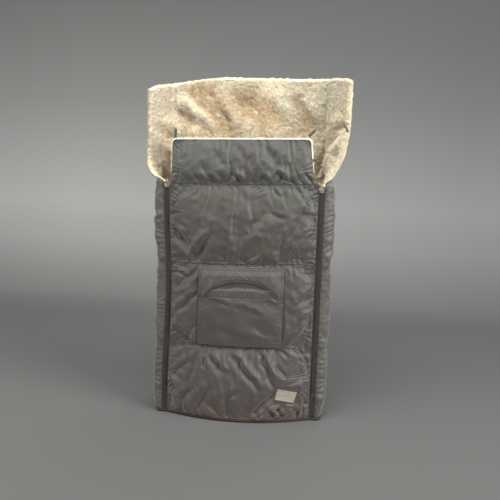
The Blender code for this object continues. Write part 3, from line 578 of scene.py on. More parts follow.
@dataclass
class Quilt:
    """A padded panel sewn down at its seams, as a grid of offsets from a seam surface."""

    name: str
    columns: Array
    rows: Array
    place: Place
    seams: tuple[float, ...]
    loft: float
    room: float
    folds: tuple[Fold, ...] = ()
    seam_offset: float = 0.0018
    edge_share: float = 0.35
    edge_power: float = 6
    crown_power: float = 0.65
    sag: float = 0.75
    tuck_depth: float = 0.0060
    tuck_pitch: float = 0.017
    tuck_reach: float = 0.022
    edge_pitch: float = 0.014
    edge_depth: float = 0.0075
    seed: int = 1
    edge_round: float = 0.006
    tuck_start: float = 0.004
    ground_depths: tuple[float, float] = (0.0014, 0.0008)
    ground_lengths: tuple[float, float] = (0.075, 0.03)
    base_span: float = 0.012
    detail_limit: float = 0.006
    least_swell: float = 0.15
    fold_start: float = 0.35
    limit: Callable[[Array, Array], Array] | None = None
    offset: Array = field(init=False)
    points: Array = field(init=False)
    normals: Array = field(init=False)

    def __post_init__(self) -> None:
        """Lay out the grid and its first padding."""
        self.across, self.up = lattice(self.columns, self.rows)
        self.points, self.normals = self.place(self.across, self.up)
        self.crown = self.swell()
        self.offset = self.seam_offset + (self.loft - self.seam_offset) * self.crown + 0.5 * self.tucks()

    def swell(self) -> Array:
        """Height of the padding, 0 in the seams and 1 on the crown."""
        index = np.clip(np.searchsorted(self.seams, self.up, side="right") - 1, 0, len(self.seams) - 2)
        low, high = np.take(self.seams, index), np.take(self.seams, index + 1)
        share = np.clip((self.up - low) / (high - low), 0, 1) ** self.sag
        rise = np.clip(np.sin(math.pi * share), 0, 1) ** self.crown_power
        spread = np.abs(2 * (self.across - self.columns[0]) / (self.columns[-1] - self.columns[0]) - 1)
        fullness = self.edge_share + (1 - self.edge_share) * (1 - spread ** self.edge_power)
        edge = np.clip(self.edge_distance() / self.edge_round, 0, 1)
        return rise * fullness * edge ** 0.5

    def edge_distance(self) -> Array:
        """Distance of each point from the panel's nearer side."""
        return np.minimum(self.across - self.columns[0], self.columns[-1] - self.across)

    def seam_distance(self) -> Array:
        """Distance of each point from the nearest seam."""
        return np.min([np.abs(self.up - seam) for seam in self.seams], axis=0)

    def tucks(self) -> Array:
        """Gathers that run from the seams and from the sides, and soft unevenness of the wadding."""
        near = self.seam_distance()
        side = self.edge_distance()
        index = np.argmin([np.abs(self.up - seam) for seam in self.seams], axis=0)
        lifts = np.zeros_like(near)
        for number in range(len(self.seams)):
            part = gathers(self.across, near, self.tuck_pitch, self.tuck_reach, self.seed + 10 * number)
            lifts += np.where(index == number, part, 0)
        lifts *= self.tuck_depth
        lifts += self.edge_depth * gathers(self.up, side, self.edge_pitch, 0.9 * self.tuck_reach, self.seed + 5)
        ground = sum(
            depth * waves(self.across, self.up, length, self.seed + number) * self.crown
            for number, depth, length in zip((7, 8), self.ground_depths, self.ground_lengths))
        return lifts * np.clip(np.minimum(near, side) / self.tuck_start, 0, 1) + ground

    def pinned(self) -> Array:
        """Indices of the points that a seam holds."""
        held = (self.seam_distance() < TOUCH) | (self.edge_distance() < TOUCH)
        held[:, [0, -1]] = True
        return np.flatnonzero(held.ravel())

    def take(self, simulated: Array) -> None:
        """Keep a simulated shape as offsets, within the room that the padding has.

        Args:
            simulated: the moved points, in the grid's order.
        """
        moved = simulated.reshape(self.points.shape) - self.points
        swell = self.crown + self.least_swell
        found = np.sum(moved * self.normals, -1) / swell
        step = float(np.linalg.norm(self.points[1, 0] - self.points[0, 0]))
        base = smoothed(found, max(1, round(self.base_span / step)))
        top = self.seam_offset + (self.loft + self.room - self.seam_offset) * self.crown
        detail = np.clip(found - base, -self.detail_limit, self.detail_limit)
        self.offset = (np.minimum(base, top / swell) + detail) * swell

    def crease(self) -> None:
        """Press the folds and gathers in, and keep the cloth under what lies on it."""
        self.offset += self.tucks()
        for fold in self.folds:
            self.offset += fold.lift(self.across, self.up) * np.clip(self.crown / self.fold_start, 0, 1)
        if self.limit is not None:
            self.offset = np.minimum(self.offset, self.limit(self.across, self.up))
        self.offset = np.maximum(self.offset, 3 * SKIN)

    def outer(self) -> Array:
        """Points of the outer face."""
        return self.points + self.normals * self.offset[..., None]

    def build(self, finish: bpy.types.Material) -> bpy.types.Object:
        """The closed, rounded panel."""
        self.crease()
        spread = np.stack([self.across, self.up], -1)
        inner = self.points + self.normals * SKIN
        return subdivide(shell_between(self.name, self.outer(), inner, spread, finish, self.crown))


def open_sheet(name: str, points: Array) -> bpy.types.Object:
    """An open grid mesh, whose faces look the way its columns and rows turn."""
    work = Patchwork()
    work.grid(points)
    mesh = bpy.data.meshes.new(name)
    mesh.from_pydata(work.points[0].tolist(), [], work.faces)
    return linked(name, mesh)


@dataclass(frozen=True)
class Wadding:
    """Cloth simulation that fills the quilts."""

    pressure: float = 4.0
    slack: float = 0.05
    tension: float = 12.0
    bending: float = 0.35
    quality: int = 5
    frames: int = 20

    def fill(self, quilts: Sequence[Quilt]) -> None:
        """Blow the quilts up together against their seams.

        Args:
            quilts: the panels, whose offsets are changed.
        """
        sheets = [self.prepare(quilt) for quilt in quilts]
        for number in range(1, self.frames + 1):
            bpy.context.scene.frame_set(number)
        depsgraph = bpy.context.evaluated_depsgraph_get()
        for quilt, sheet in zip(quilts, sheets):
            quilt.take(points_of(sheet.evaluated_get(depsgraph).data))
        for sheet in sheets:
            bpy.data.objects.remove(sheet)
        bpy.context.scene.frame_set(1)

    def prepare(self, quilt: Quilt) -> bpy.types.Object:
        """The quilt's outer face as cloth, pinned along its seams."""
        sheet = open_sheet(f"{quilt.name}_cloth", quilt.outer())
        facing = np.array([polygon.normal for polygon in sheet.data.polygons]).mean(0)
        if float(facing @ quilt.normals.reshape(-1, 3).mean(0)) < 0:
            sheet.data.flip_normals()
        pins = sheet.vertex_groups.new(name="sewn")
        pins.add(quilt.pinned().tolist(), 1, "REPLACE")
        cloth = sheet.modifiers.new("wadding", "CLOTH")
        settings = cloth.settings
        settings.vertex_group_mass = "sewn"
        settings.use_pressure = True
        settings.uniform_pressure_force = self.pressure
        settings.effector_weights.gravity = 0
        settings.shrink_min = -self.slack
        settings.tension_stiffness = settings.compression_stiffness = self.tension
        settings.shear_stiffness = self.tension / 3
        settings.bending_stiffness = self.bending
        settings.quality = self.quality
        cloth.point_cache.frame_end = self.frames
        return sheet


class Tree:
    """A node tree and short ways to add to it."""

    def __init__(self, tree: bpy.types.NodeTree) -> None:
        """Start on an existing tree."""
        self.tree = tree

    @classmethod
    def group(cls, kind: str, name: str, inputs: dict[str, tuple[str, object]], outputs: dict[str, str]) -> "Tree":
        """Start a node group with named sockets.

        Args:
            kind: the group's type.
            name: its name.
            inputs: each input's socket type and first value.
            outputs: each output's socket type.

        Returns:
            The tree.
        """
        made = bpy.data.node_groups.new(name, kind)
        for key, (socket_type, value) in inputs.items():
            socket = made.interface.new_socket(key, in_out="INPUT", socket_type=f"NodeSocket{socket_type}")
            if value is not None:
                socket.default_value = value
        for key, socket_type in outputs.items():
            made.interface.new_socket(key, in_out="OUTPUT", socket_type=f"NodeSocket{socket_type}")
        made.nodes.new("NodeGroupInput").name = "source"
        made.nodes.new("NodeGroupOutput").name = "sink"
        return cls(made)

    @property
    def given(self) -> bpy.types.bpy_prop_collection:
        """The group's inputs by name."""
        return self.tree.nodes["source"].outputs

    @property
    def result(self) -> bpy.types.bpy_prop_collection:
        """The group's outputs by name."""
        return self.tree.nodes["sink"].inputs

    def add(self, kind: str, **values: object) -> bpy.types.Node:
        """Add a node. Names of its properties or sockets take a value or another node's socket."""
        made = self.tree.nodes.new(kind)
        for key, value in values.items():
            if key in made.bl_rna.properties:
                setattr(made, key, value)
            else:
                self.feed(made.inputs[key.replace("_", " ")], value)
        return made

    def feed(self, socket: bpy.types.NodeSocket, value: object) -> None:
        """Link a socket to an input, or set its value."""
        if isinstance(value, bpy.types.NodeSocket):
            self.tree.links.new(value, socket)
        else:
            socket.default_value = value

    def math(self, operation: str, *values: object) -> bpy.types.NodeSocket:
        """A Math node's result."""
        made = self.add("ShaderNodeMath", operation=operation)
        for socket, value in zip(made.inputs, values):
            self.feed(socket, value)
        return made.outputs[0]

    def rest(self, value: object) -> bpy.types.NodeSocket:
        """What a value lacks to 1."""
        return self.math("SUBTRACT", 1.0, value)

    def parts(self, vector: object) -> bpy.types.bpy_prop_collection:
        """A vector's X, Y and Z."""
        return self.add("ShaderNodeSeparateXYZ", Vector=vector).outputs

    def ramp(self, value: object, low: float, high: float) -> bpy.types.NodeSocket:
        """A value mapped from low..high to 0..1 and clamped."""
        return self.add("ShaderNodeMapRange", Value=value, From_Min=low, From_Max=high).outputs["Result"]

    def mix(self, factor: object, first: object, second: object) -> bpy.types.NodeSocket:
        """A mix of two colours."""
        made = self.add("ShaderNodeMix", data_type="RGBA")
        for index, value in ((0, factor), (6, first), (7, second)):
            self.feed(made.inputs[index], value)
        return made.outputs[2]

    def noise(self, vector: object, scale: object, detail: float) -> bpy.types.NodeSocket:
        """Noise over a vector, about 0 to 1."""
        return self.add("ShaderNodeTexNoise", Vector=vector, Scale=scale, Detail=detail).outputs["Fac"]

    def attribute(self, name: str, kind: str = "FLOAT_VECTOR") -> bpy.types.NodeSocket:
        """A mesh's own numbers in a Geometry Nodes tree."""
        return self.add("GeometryNodeInputNamedAttribute", data_type=kind, Name=name).outputs["Attribute"]

    def real(self, geometry: bpy.types.NodeSocket) -> bpy.types.NodeSocket:
        """Instances made into plain geometry."""
        return self.add("GeometryNodeRealizeInstances", Geometry=geometry).outputs["Geometry"]

    def finished(self, geometry: bpy.types.NodeSocket) -> bpy.types.NodeTree:
        """The tree with its material set and the geometry handed out."""
        painted = self.add("GeometryNodeSetMaterial", Geometry=geometry, Material=self.given["Finish"])
        self.feed(self.result["Geometry"], painted.outputs["Geometry"])
        return self.tree


def shader_group(name: str, inputs: dict[str, float], outputs: Sequence[str]) -> Tree:
    """Start a shader node group that has a Vector and the given Float inputs and outputs."""
    floats = {key: ("Float", value) for key, value in inputs.items()}
    return Tree.group("ShaderNodeTree", name, {"Vector": ("Vector", None), **floats}, dict.fromkeys(outputs, "Float"))


def build_weave() -> bpy.types.NodeTree:
    """Plain weave over a cloth's own places: threads pass over and under each other."""
    tree = shader_group("plain_weave", {"Threads": 2000.0}, ("Height",))
    parts = tree.parts(tree.given["Vector"])
    turns = tree.math("MULTIPLY", tree.given["Threads"], math.pi)
    warp = tree.math("SINE", tree.math("MULTIPLY", parts["X"], turns))
    weft = tree.math("SINE", tree.math("MULTIPLY", parts["Y"], turns))
    height = tree.math("MULTIPLY_ADD", tree.math("MULTIPLY", warp, weft), 0.5, 0.5)
    tree.feed(tree.result["Height"], height)
    return tree.tree


def build_mottle() -> bpy.types.NodeTree:
    """Uneven tone of used cloth: broad patches and fine specks."""
    tree = shader_group("mottle", {"Broad": 9.0, "Fine": 160.0}, ("Patches", "Specks"))
    broad = tree.noise(tree.given["Vector"], tree.given["Broad"], 4.0)
    fine = tree.noise(tree.given["Vector"], tree.given["Fine"], 2.0)
    tree.feed(tree.result["Patches"], tree.ramp(broad, 0.32, 0.68))
    tree.feed(tree.result["Specks"], tree.ramp(fine, 0.3, 0.7))
    return tree.tree


def build_dust_and_shade() -> bpy.types.NodeTree:
    """Dust from the ground low on the sack, and dust with painted shade in the seams, where the loft is low."""
    tree = shader_group("dust_and_shade", {"Loft": 1.0, "Height": 0.09}, ("Foot", "Seam"))
    uneven = tree.noise(tree.given["Vector"], 14.0, 5.0)
    reach = tree.math("MULTIPLY", tree.given["Height"], tree.math("MULTIPLY_ADD", uneven, 1.4, 0.3))
    low = tree.rest(tree.math("DIVIDE", tree.parts(tree.given["Vector"])["Z"], reach))
    tree.feed(tree.result["Foot"], tree.ramp(low, 0.0, 1.0))
    # The seam output is painted shade, with some dust, that darkens the cloth where the padding sinks into a seam.
    tree.feed(tree.result["Seam"], tree.rest(tree.ramp(tree.given["Loft"], 0.0, 0.30)))
    return tree.tree


Colour = tuple[float, float, float]


def srgb(red: int, green: int, blue: int) -> Colour:
    """A colour given as 8-bit sRGB, in linear light."""
    return tuple(
        (value / 255 / 12.92 if value <= 10 else ((value / 255 + 0.055) / 1.055) ** 2.4)
        for value in (red, green, blue))


@dataclass(frozen=True)
class Groups:
    """The shader groups that several finishes share."""

    weave: bpy.types.NodeTree
    mottle: bpy.types.NodeTree
    dust_and_shade: bpy.types.NodeTree

    @classmethod
    def build(cls) -> "Groups":
        """Make each group once."""
        return cls(build_weave(), build_mottle(), build_dust_and_shade())


@dataclass(frozen=True)
class Finish:
    """What every finish has: its name, the record's slot, its colours, its shine and its grain."""

    name: str
    slot: str
    colour: Colour
    second: Colour
    roughness: float = 0.6
    sheen: float = 0.0
    metallic: float = 0.0
    threads: float = 2200.0
    weave_depth: float = 0.00012
    broad: float = 20.0
    fine: float = 500.0


class Coat:
    """A finish's material in the making."""

    def __init__(self, finish: Finish, groups: Groups) -> None:
        """Set the shader's plain numbers, and lay the mottle."""
        self.finish, self.groups = finish, groups
        self.material = bpy.data.materials.new(finish.name)
        self.material.use_nodes = True
        self.tree = Tree(self.material.node_tree)
        self.shader = self.tree.tree.nodes["Principled BSDF"].inputs
        for name, value in (("Roughness", finish.roughness), ("Metallic", finish.metallic),
                            ("Sheen Weight", finish.sheen), ("Sheen Roughness", 0.5)):
            self.shader[name].default_value = value
        coordinates = self.tree.add("ShaderNodeTexCoord").outputs
        self.place, self.cloth = coordinates["Object"], coordinates["UV"]
        mottle = self.use(groups.mottle, Vector=self.place, Broad=finish.broad, Fine=finish.fine)
        self.patches, self.specks = mottle["Patches"], mottle["Specks"]
        self.normal: bpy.types.NodeSocket | None = None

    def use(self, group: bpy.types.NodeTree, **values: object) -> bpy.types.bpy_prop_collection:
        """Place a shared group, and give its outputs by name."""
        return self.tree.add("ShaderNodeGroup", node_tree=group, **values).outputs

    def own(self, name: str) -> bpy.types.NodeSocket:
        """Numbers that the mesh itself carries."""
        return self.tree.add("ShaderNodeAttribute", attribute_name=name).outputs["Fac"]

    def part(self, value: object, share: float) -> bpy.types.NodeSocket:
        """A share of a value."""
        return self.tree.math("MULTIPLY", value, share)

    def paint(self, factor: object) -> None:
        """Lay the finish's two colours."""
        self.tone = self.tree.mix(factor, (*self.finish.colour, 1), (*self.finish.second, 1))

    def tint(self, factor: object, colour: Colour) -> None:
        """Mix another colour in."""
        self.tone = self.tree.mix(factor, self.tone, (*colour, 1))

    def roughen(self, value: object, spread: float, less: float) -> None:
        """Vary the roughness by a value, from less below the finish's own."""
        rough = self.tree.math("MULTIPLY_ADD", value, spread, self.finish.roughness - less)
        self.tree.feed(self.shader["Roughness"], rough)

    def bump(self, height: object, distance: float, strength: float) -> None:
        """Raise the surface by a height, over what is there already."""
        node = self.tree.add("ShaderNodeBump", Height=height, Distance=distance, Strength=strength)
        if self.normal is not None:
            self.tree.feed(node.inputs["Normal"], self.normal)
        self.normal = node.outputs["Normal"]
        self.tree.feed(self.shader["Normal"], self.normal)

    def weave(self, place: bpy.types.NodeSocket, distance: float, strength: float) -> None:
        """Raise the threads of the weave."""
        height = self.use(self.groups.weave, Vector=place, Threads=self.finish.threads)["Height"]
        self.bump(height, distance, strength)

    def done(self) -> bpy.types.Material:
        """The material with its colour."""
        self.tree.feed(self.shader["Base Color"], self.tone)
        return self.material


@dataclass(frozen=True, kw_only=True)
class Nylon(Finish):
    """Fine woven nylon of the shell, a little dusty at the foot, with dust and painted shade in its seams, and painted
    shade that makes it darker and browner below dark_top.
    """

    foot: Colour
    seam: Colour
    broad: float = 7.0
    fine: float = 420.0
    dust_height: float = 0.055
    dark_low: float = 0.54
    dark_top: float = 0.66
    dark_share: float = 0.60
    patch_share: float = 0.6
    seam_share: float = 0.85
    foot_share: float = 0.6
    rumple_scale: float = 55.0
    rumple_depth: float = 0.0022

    def build(self, groups: Groups) -> bpy.types.Material:
        """Make the material."""
        coat = Coat(self, groups)
        tree = coat.tree
        dust_and_shade = coat.use(groups.dust_and_shade, Vector=coat.place, Loft=coat.own("loft"), Height=self.dust_height)
        # Painted shade: darker and browner below dark_top, for the light from above falling off down the cover.
        below = tree.rest(tree.ramp(tree.parts(coat.place)["Z"], self.dark_low, self.dark_top))
        coat.paint(tree.math("MULTIPLY_ADD", coat.patches, self.patch_share, coat.part(below, self.dark_share)))
        # Dust and painted shade in the seams.
        coat.tint(coat.part(dust_and_shade["Seam"], self.seam_share), self.seam)
        coat.tint(coat.part(dust_and_shade["Foot"], self.foot_share), self.foot)
        coat.roughen(coat.specks, 0.14, 0.07)
        coat.weave(coat.cloth, self.weave_depth, 0.5)
        coat.bump(tree.noise(coat.place, self.rumple_scale, 4.0), self.rumple_depth, 0.45)
        return coat.done()


@dataclass(frozen=True, kw_only=True)
class Fleece(Finish):
    """Curly cream pile, paler at the curls' tips, with painted shade that browns the curls' roots and the folds'
    hollows.
    """

    # deep is the brown of the random specks and of the painted shade.
    deep: Colour
    broad: float = 11.0
    fine: float = 140.0
    speck_share: float = 0.32
    root_shade_share: float = 0.25
    hollow_shade_share: float = 0.8
    curl_scale: float = 300.0
    curl_depth: float = 0.0020
    clump_scale: float = 110.0
    clump_depth: float = 0.004

    def build(self, groups: Groups) -> bpy.types.Material:
        """Make the material."""
        coat = Coat(self, groups)
        tree = coat.tree
        coat.paint(coat.patches)
        coat.tint(coat.part(coat.specks, self.speck_share), self.deep)
        # Painted shade at the roots of the curls and tufts.
        coat.tint(coat.part(tree.rest(tree.ramp(coat.own("loft"), 0.15, 0.75)), self.root_shade_share), self.deep)
        # Painted shade in the folds' hollows and on the rolled rim.
        coat.tint(coat.part(tree.ramp(coat.own("hollow_shade"), 0.35, 1.0), self.hollow_shade_share), self.deep)
        coat.bump(tree.noise(coat.place, self.curl_scale, 3.0), self.curl_depth, 0.7)
        coat.bump(tree.noise(coat.place, self.clump_scale, 4.0), self.clump_depth, 0.6)
        return coat.done()


@dataclass(frozen=True, kw_only=True)
class Tape(Finish):
    """Ribbed tape of a zip, ribbon or binding."""

    ribs: float = 900.0
    edge: float = 0.5
    edge_tone: float = 0.45
    rib_depth: float = 0.00012
    weave_depth: float = 0.00008

    def build(self, groups: Groups) -> bpy.types.Material:
        """Make the material."""
        coat = Coat(self, groups)
        tree = coat.tree
        coat.paint(coat.specks)
        dark = tuple(self.edge_tone * value for value in self.colour)
        coat.tint(coat.part(tree.rest(coat.own("loft")), self.edge), dark)
        coat.roughen(coat.patches, 0.16, 0.08)
        coat.bump(tree.math("SINE", coat.part(tree.parts(coat.cloth)["Y"], self.ribs * math.tau)), self.rib_depth, 0.6)
        coat.weave(coat.cloth, self.weave_depth, 0.5)
        return coat.done()


@dataclass(frozen=True, kw_only=True)
class Metal(Finish):
    """Cast metal with worn edges, or moulded plastic and thread where metallic is 0."""

    broad: float = 260.0
    fine: float = 1800.0
    grain_depth: float = 0.00006

    def build(self, groups: Groups) -> bpy.types.Material:
        """Make the material."""
        coat = Coat(self, groups)
        coat.paint(coat.patches)
        coat.roughen(coat.patches, 0.25, 0.12)
        coat.bump(coat.specks, self.grain_depth, 0.5)
        return coat.done()


@dataclass(frozen=True, kw_only=True)
class Sole(Finish):
    """Coated black cloth of the sole and its piping, with grit in its grain."""

    broad: float = 24.0
    fine: float = 700.0
    grit: Colour = (0.10, 0.09, 0.08)

    def build(self, groups: Groups) -> bpy.types.Material:
        """Make the material."""
        coat = Coat(self, groups)
        coat.paint(coat.specks)
        coat.tint(coat.tree.math("MULTIPLY", coat.patches, coat.part(coat.specks, 0.5)), self.grit)
        coat.roughen(coat.patches, 0.2, 0.1)
        coat.weave(coat.place, self.weave_depth, 0.6)
        return coat.done()


# DUST is dust at the foot; the two seam colours are dust and painted shade in the seams.
DUST, SEAM_DUST_AND_SHADE, SIDE_SEAM_DUST_AND_SHADE = srgb(84, 58, 47), srgb(40, 34, 30), srgb(44, 38, 34)


@dataclass
class Finishes:
    """Every material of the footmuff, built once."""

    groups: Groups = field(default_factory=Groups.build)

    def __post_init__(self) -> None:
        """Make the materials."""
        self.finishes = {
            "shell": Nylon("shell_nylon", "shell", srgb(68, 69, 61), srgb(57, 50, 44), 0.54, 0.42,
                           foot=DUST, seam=SEAM_DUST_AND_SHADE),
            # Painted light: a paler copy of the shell nylon for the side walls, for the sheen that the side lamps
            # raise on them.
            "side": Nylon("side_nylon", "shell", srgb(80, 81, 74), srgb(68, 62, 55), 0.54, 0.42,
                          foot=DUST, seam=SIDE_SEAM_DUST_AND_SHADE),
            "fleece": Fleece("cream_fleece", "fleece", srgb(254, 249, 226), srgb(252, 242, 213), 0.95, 0.4,
                             deep=srgb(208, 178, 134)),
            "tape": Tape("zip_tape", "zip_tape", srgb(49, 48, 46), srgb(44, 43, 41), 0.5, 0.1, ribs=800.0),
            "chain": Metal("zip_coil", "zip_chain", srgb(50, 49, 47), srgb(45, 44, 42), 0.55),
            "slider": Metal("slider_metal", "slider", srgb(206, 198, 176), srgb(168, 160, 140), 0.30, metallic=0.85),
            "stop": Metal("stop_metal", "slider", srgb(84, 82, 78), srgb(70, 68, 65), 0.5, metallic=0.5),
            "sole": Sole("sole_cloth", "sole", srgb(40, 33, 30), srgb(48, 40, 36), 0.7, threads=900.0),
            "ribbon": Tape("ribbon", "ribbon", srgb(76, 77, 70), srgb(68, 68, 62), 0.7, 0.2, ribs=700.0),
            "label": Tape("label_cloth", "label", srgb(148, 140, 127), srgb(138, 129, 115), 0.8, 0.3, ribs=1300.0,
                          edge=0.2),
            "thread": Metal("stitch_thread", "shell", srgb(60, 54, 49), srgb(52, 46, 42), 0.65),
            "label_thread": Metal("label_thread", "label", srgb(154, 145, 130), srgb(140, 131, 116), 0.7),
        }
        self.materials = {key: look.build(self.groups) for key, look in self.finishes.items()}

    def __getitem__(self, key: str) -> bpy.types.Material:
        """A material by its short name."""
        return self.materials[key]

    def slot(self, key: str) -> str:
        """The record's slot of a finish."""
        return self.finishes[key].slot


def bend_between(lower: str, upper: str, start: float, end: float) -> Bend:
    """Two bodies and the heights between which cloth bends from one to the other."""
    return lower, upper, Vector((0, 0, start)), Vector((0, 0, end))


@dataclass
class Workshop:
    """What every sub-assembly needs, and the keeping of finished pieces."""

    form: Form
    finishes: Finishes
    flap_turn: float = 0.028
    hood_before: float = 0.012
    hood_after: float = 0.030

    def keep(self, obj: bpy.types.Object, finish: str, body: Body, nodes: Sequence[str] = ()) -> bpy.types.Object:
        """Attach a finished piece to its body, or leave it in place where it spans a bend, and log it.

        Args:
            obj: the piece.
            finish: short name of its finish.
            body: the body it rides on, or two bodies and the start and end of the bend between them, where the piece
                is left unattached.
            nodes: CAD nodes that it stands for.

        Returns:
            The piece.
        """
        if isinstance(body, str):
            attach(obj, body)
        else:
            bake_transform(obj)
        if nodes:
            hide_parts(*nodes)
        self.finishes.slot(finish)
        LOG.info("%s: %d faces", obj.name, len(obj.data.polygons))
        return obj

    @property
    def cover_bend(self) -> Bend:
        """The bend at the zips' lower ends."""
        return bend_between("sack", "front_cover", self.form.fold_low, self.form.fold_high)

    @property
    def flap_bend(self) -> Bend:
        """The bend where the flap turns down."""
        top = self.form.zip_top
        return bend_between("front_cover", "front_flap", top, top + self.flap_turn)

    @property
    def hood_bend(self) -> Bend:
        """The bend where the headboard folds back."""
        fold = self.form.hood_fold
        return bend_between("sack", "headboard", fold - self.hood_before, fold + self.hood_after)


@dataclass
class FrontQuilts:
    """The quilted panels of the cover, the toe and the flap."""

    shop: Workshop
    step: float = 0.003
    loft: float = 0.0135
    room: float = 0.004
    wide_pitch: float = 0.026
    seam_loft: float = 0.0035
    edge_fullness: float = 0.35
    label_half: tuple[float, float] = (0.036, 0.026)
    label_room: float = 0.0007
    label_slope: float = 0.03
    pocket_slope: float = 0.010 / 0.012
    pocket_half: float = 0.114

    def quilts(self) -> list[Quilt]:
        """The four panels, from the toe up."""
        form = self.shop.form
        columns = spaced([-form.panel_half, form.panel_half], self.step)

        def panel(name: str, low: float, high: float, place: Place = form.panel, **sizes: object) -> Quilt:
            seams = (low, high)
            rows = spaced(seams, self.step)
            return Quilt(f"{name}_quilt", columns, rows, place, seams, self.loft, self.room, **sizes)

        def flap(x: Array, z: Array) -> Surface:
            return form.panel(x * form.flap_half(z, x) / form.panel_half, z)

        return [
            panel("lower", form.foot + SKIN, form.lower_seam - SKIN, folds=self.lower_folds(), seed=11,
                  tuck_pitch=self.wide_pitch, tuck_reach=0.045, tuck_depth=0.0070, limit=self.under_label),
            panel("middle", form.lower_seam + SKIN, form.middle_seam - SKIN, folds=self.middle_folds(), seed=23,
                  limit=self.under_pocket),
            panel("upper", form.middle_seam + SKIN, form.zip_top - SKIN, folds=self.upper_folds(), seed=37),
            panel("flap", form.zip_top + SKIN, form.flap_top, flap, folds=self.flap_folds(), seed=41,
                  tuck_pitch=self.wide_pitch)]

    def face(self, x: Array, z: Array, low: float, high: float) -> Array:
        """The frame's own outer face between two seams, as an offset from the seam surface."""
        swell = np.clip(np.sin(math.pi * np.clip((z - low) / (high - low), 0, 1)), 0, 1) ** 0.55
        inside = 1 - np.abs(x / self.shop.form.panel_half) ** 6
        fullness = self.edge_fullness + (1 - self.edge_fullness) * inside
        return self.seam_loft + (self.loft - self.seam_loft) * swell * fullness

    def under_label(self, x: Array, z: Array) -> Array:
        """Highest the lower panel may stand: flat where the label is sewn on."""
        form = self.shop.form
        low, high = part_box("woven_label")
        middle = (low + high) / 2
        out = np.maximum(np.abs(x - middle.x) / self.label_half[0], np.abs(z - middle.z) / self.label_half[1])
        free = self.label_slope * np.clip(out - 0.9, 0, None)
        return self.face(x, z, form.foot, form.lower_seam) + self.label_room + free

    def under_pocket(self, x: Array, z: Array) -> Array:
        """Highest the middle panel may stand: within the frame's face behind the pocket."""
        form = self.shop.form
        out = np.clip(np.abs(x) - self.pocket_half, 0, None)
        return self.face(x, z, form.lower_seam, form.middle_seam) + self.pocket_slope * out

    def lower_folds(self) -> tuple[Fold, ...]:
        """Creases of the toe and lower cover: a fan from the seam, and the pull at the label."""
        return (
            Fold((-0.130, 0.170), (-0.182, 0.113), 0.0061, 0.007, side=-1),
            Fold((-0.093, 0.180), (-0.089, 0.148), 0.0061, 0.005),
            Fold((-0.107, 0.200), (-0.135, 0.086), 0.0044, 0.007),
            Fold((-0.079, 0.186), (-0.036, 0.134), 0.0096, 0.009, 0.8),
            Fold((-0.023, 0.196), (0.063, 0.092), 0.0088, 0.008, 0.8),
            Fold((0.052, 0.214), (0.098, 0.098), 0.0079, 0.007, 0.7),
            Fold((0.110, 0.210), (0.136, 0.185), 0.0053, 0.005),
            Fold((0.098, 0.166), (0.132, 0.130), 0.0053, 0.006, side=-1),
            Fold((0.157, 0.203), (0.169, 0.170), 0.0053, 0.005),
            Fold((0.108, 0.098), (0.034, 0.018), 0.0114, 0.008, 0.9, side=1),
            Fold((-0.070, 0.105), (-0.118, 0.014), 0.0079, 0.009, 0.8, side=-1),
            Fold((-0.118, 0.089), (-0.158, 0.042), 0.0061, 0.008, side=-1),
            Fold((0.010, 0.094), (-0.040, 0.060), 0.0053, 0.009, side=-1),
            Fold((0.078, 0.055), (0.104, 0.010), 0.0061, 0.005),
            Fold((0.100, 0.049), (0.128, 0.014), 0.0053, 0.005),
            Fold((0.151, 0.043), (0.170, 0.010), 0.0053, 0.005),
            Fold((-0.188, 0.109), (-0.160, 0.064), 0.0044, 0.006))

    def middle_folds(self) -> tuple[Fold, ...]:
        """Creases beside the pocket."""
        return (
            Fold((-0.117, 0.427), (-0.188, 0.355), 0.0070, 0.008, 0.8, side=1),
            Fold((-0.111, 0.363), (-0.186, 0.291), 0.0079, 0.008, 0.8, side=-1),
            Fold((-0.116, 0.272), (-0.145, 0.220), 0.0053, 0.007),
            Fold((0.193, 0.283), (0.162, 0.243), 0.0053, 0.007, side=-1),
            Fold((0.189, 0.372), (0.157, 0.326), 0.0053, 0.008, side=-1),
            Fold((-0.187, 0.416), (-0.145, 0.396), 0.0044, 0.005))

    def upper_folds(self) -> tuple[Fold, ...]:
        """Creases of the upper cover, most of them falling to the left."""
        return (
            Fold((0.188, 0.622), (0.074, 0.442), 0.0066, 0.007, 0.7, side=-1),
            Fold((0.064, 0.582), (-0.006, 0.496), 0.0073, 0.010, 0.8, side=1),
            Fold((-0.072, 0.529), (-0.136, 0.436), 0.0096, 0.010, 0.9, side=-1),
            Fold((-0.183, 0.536), (-0.148, 0.487), 0.0061, 0.006, 0.7),
            Fold((0.073, 0.640), (0.099, 0.614), 0.0053, 0.005),
            Fold((0.132, 0.645), (0.154, 0.624), 0.0053, 0.005),
            Fold((0.153, 0.646), (0.176, 0.630), 0.0053, 0.005),
            Fold((0.189, 0.541), (0.164, 0.517), 0.0044, 0.005, side=-1),
            Fold((-0.188, 0.514), (-0.169, 0.492), 0.0053, 0.005),
            Fold((-0.008, 0.637), (0.010, 0.602), 0.0032, 0.008),
            Fold((0.069, 0.577), (0.114, 0.557), 0.0039, 0.006))

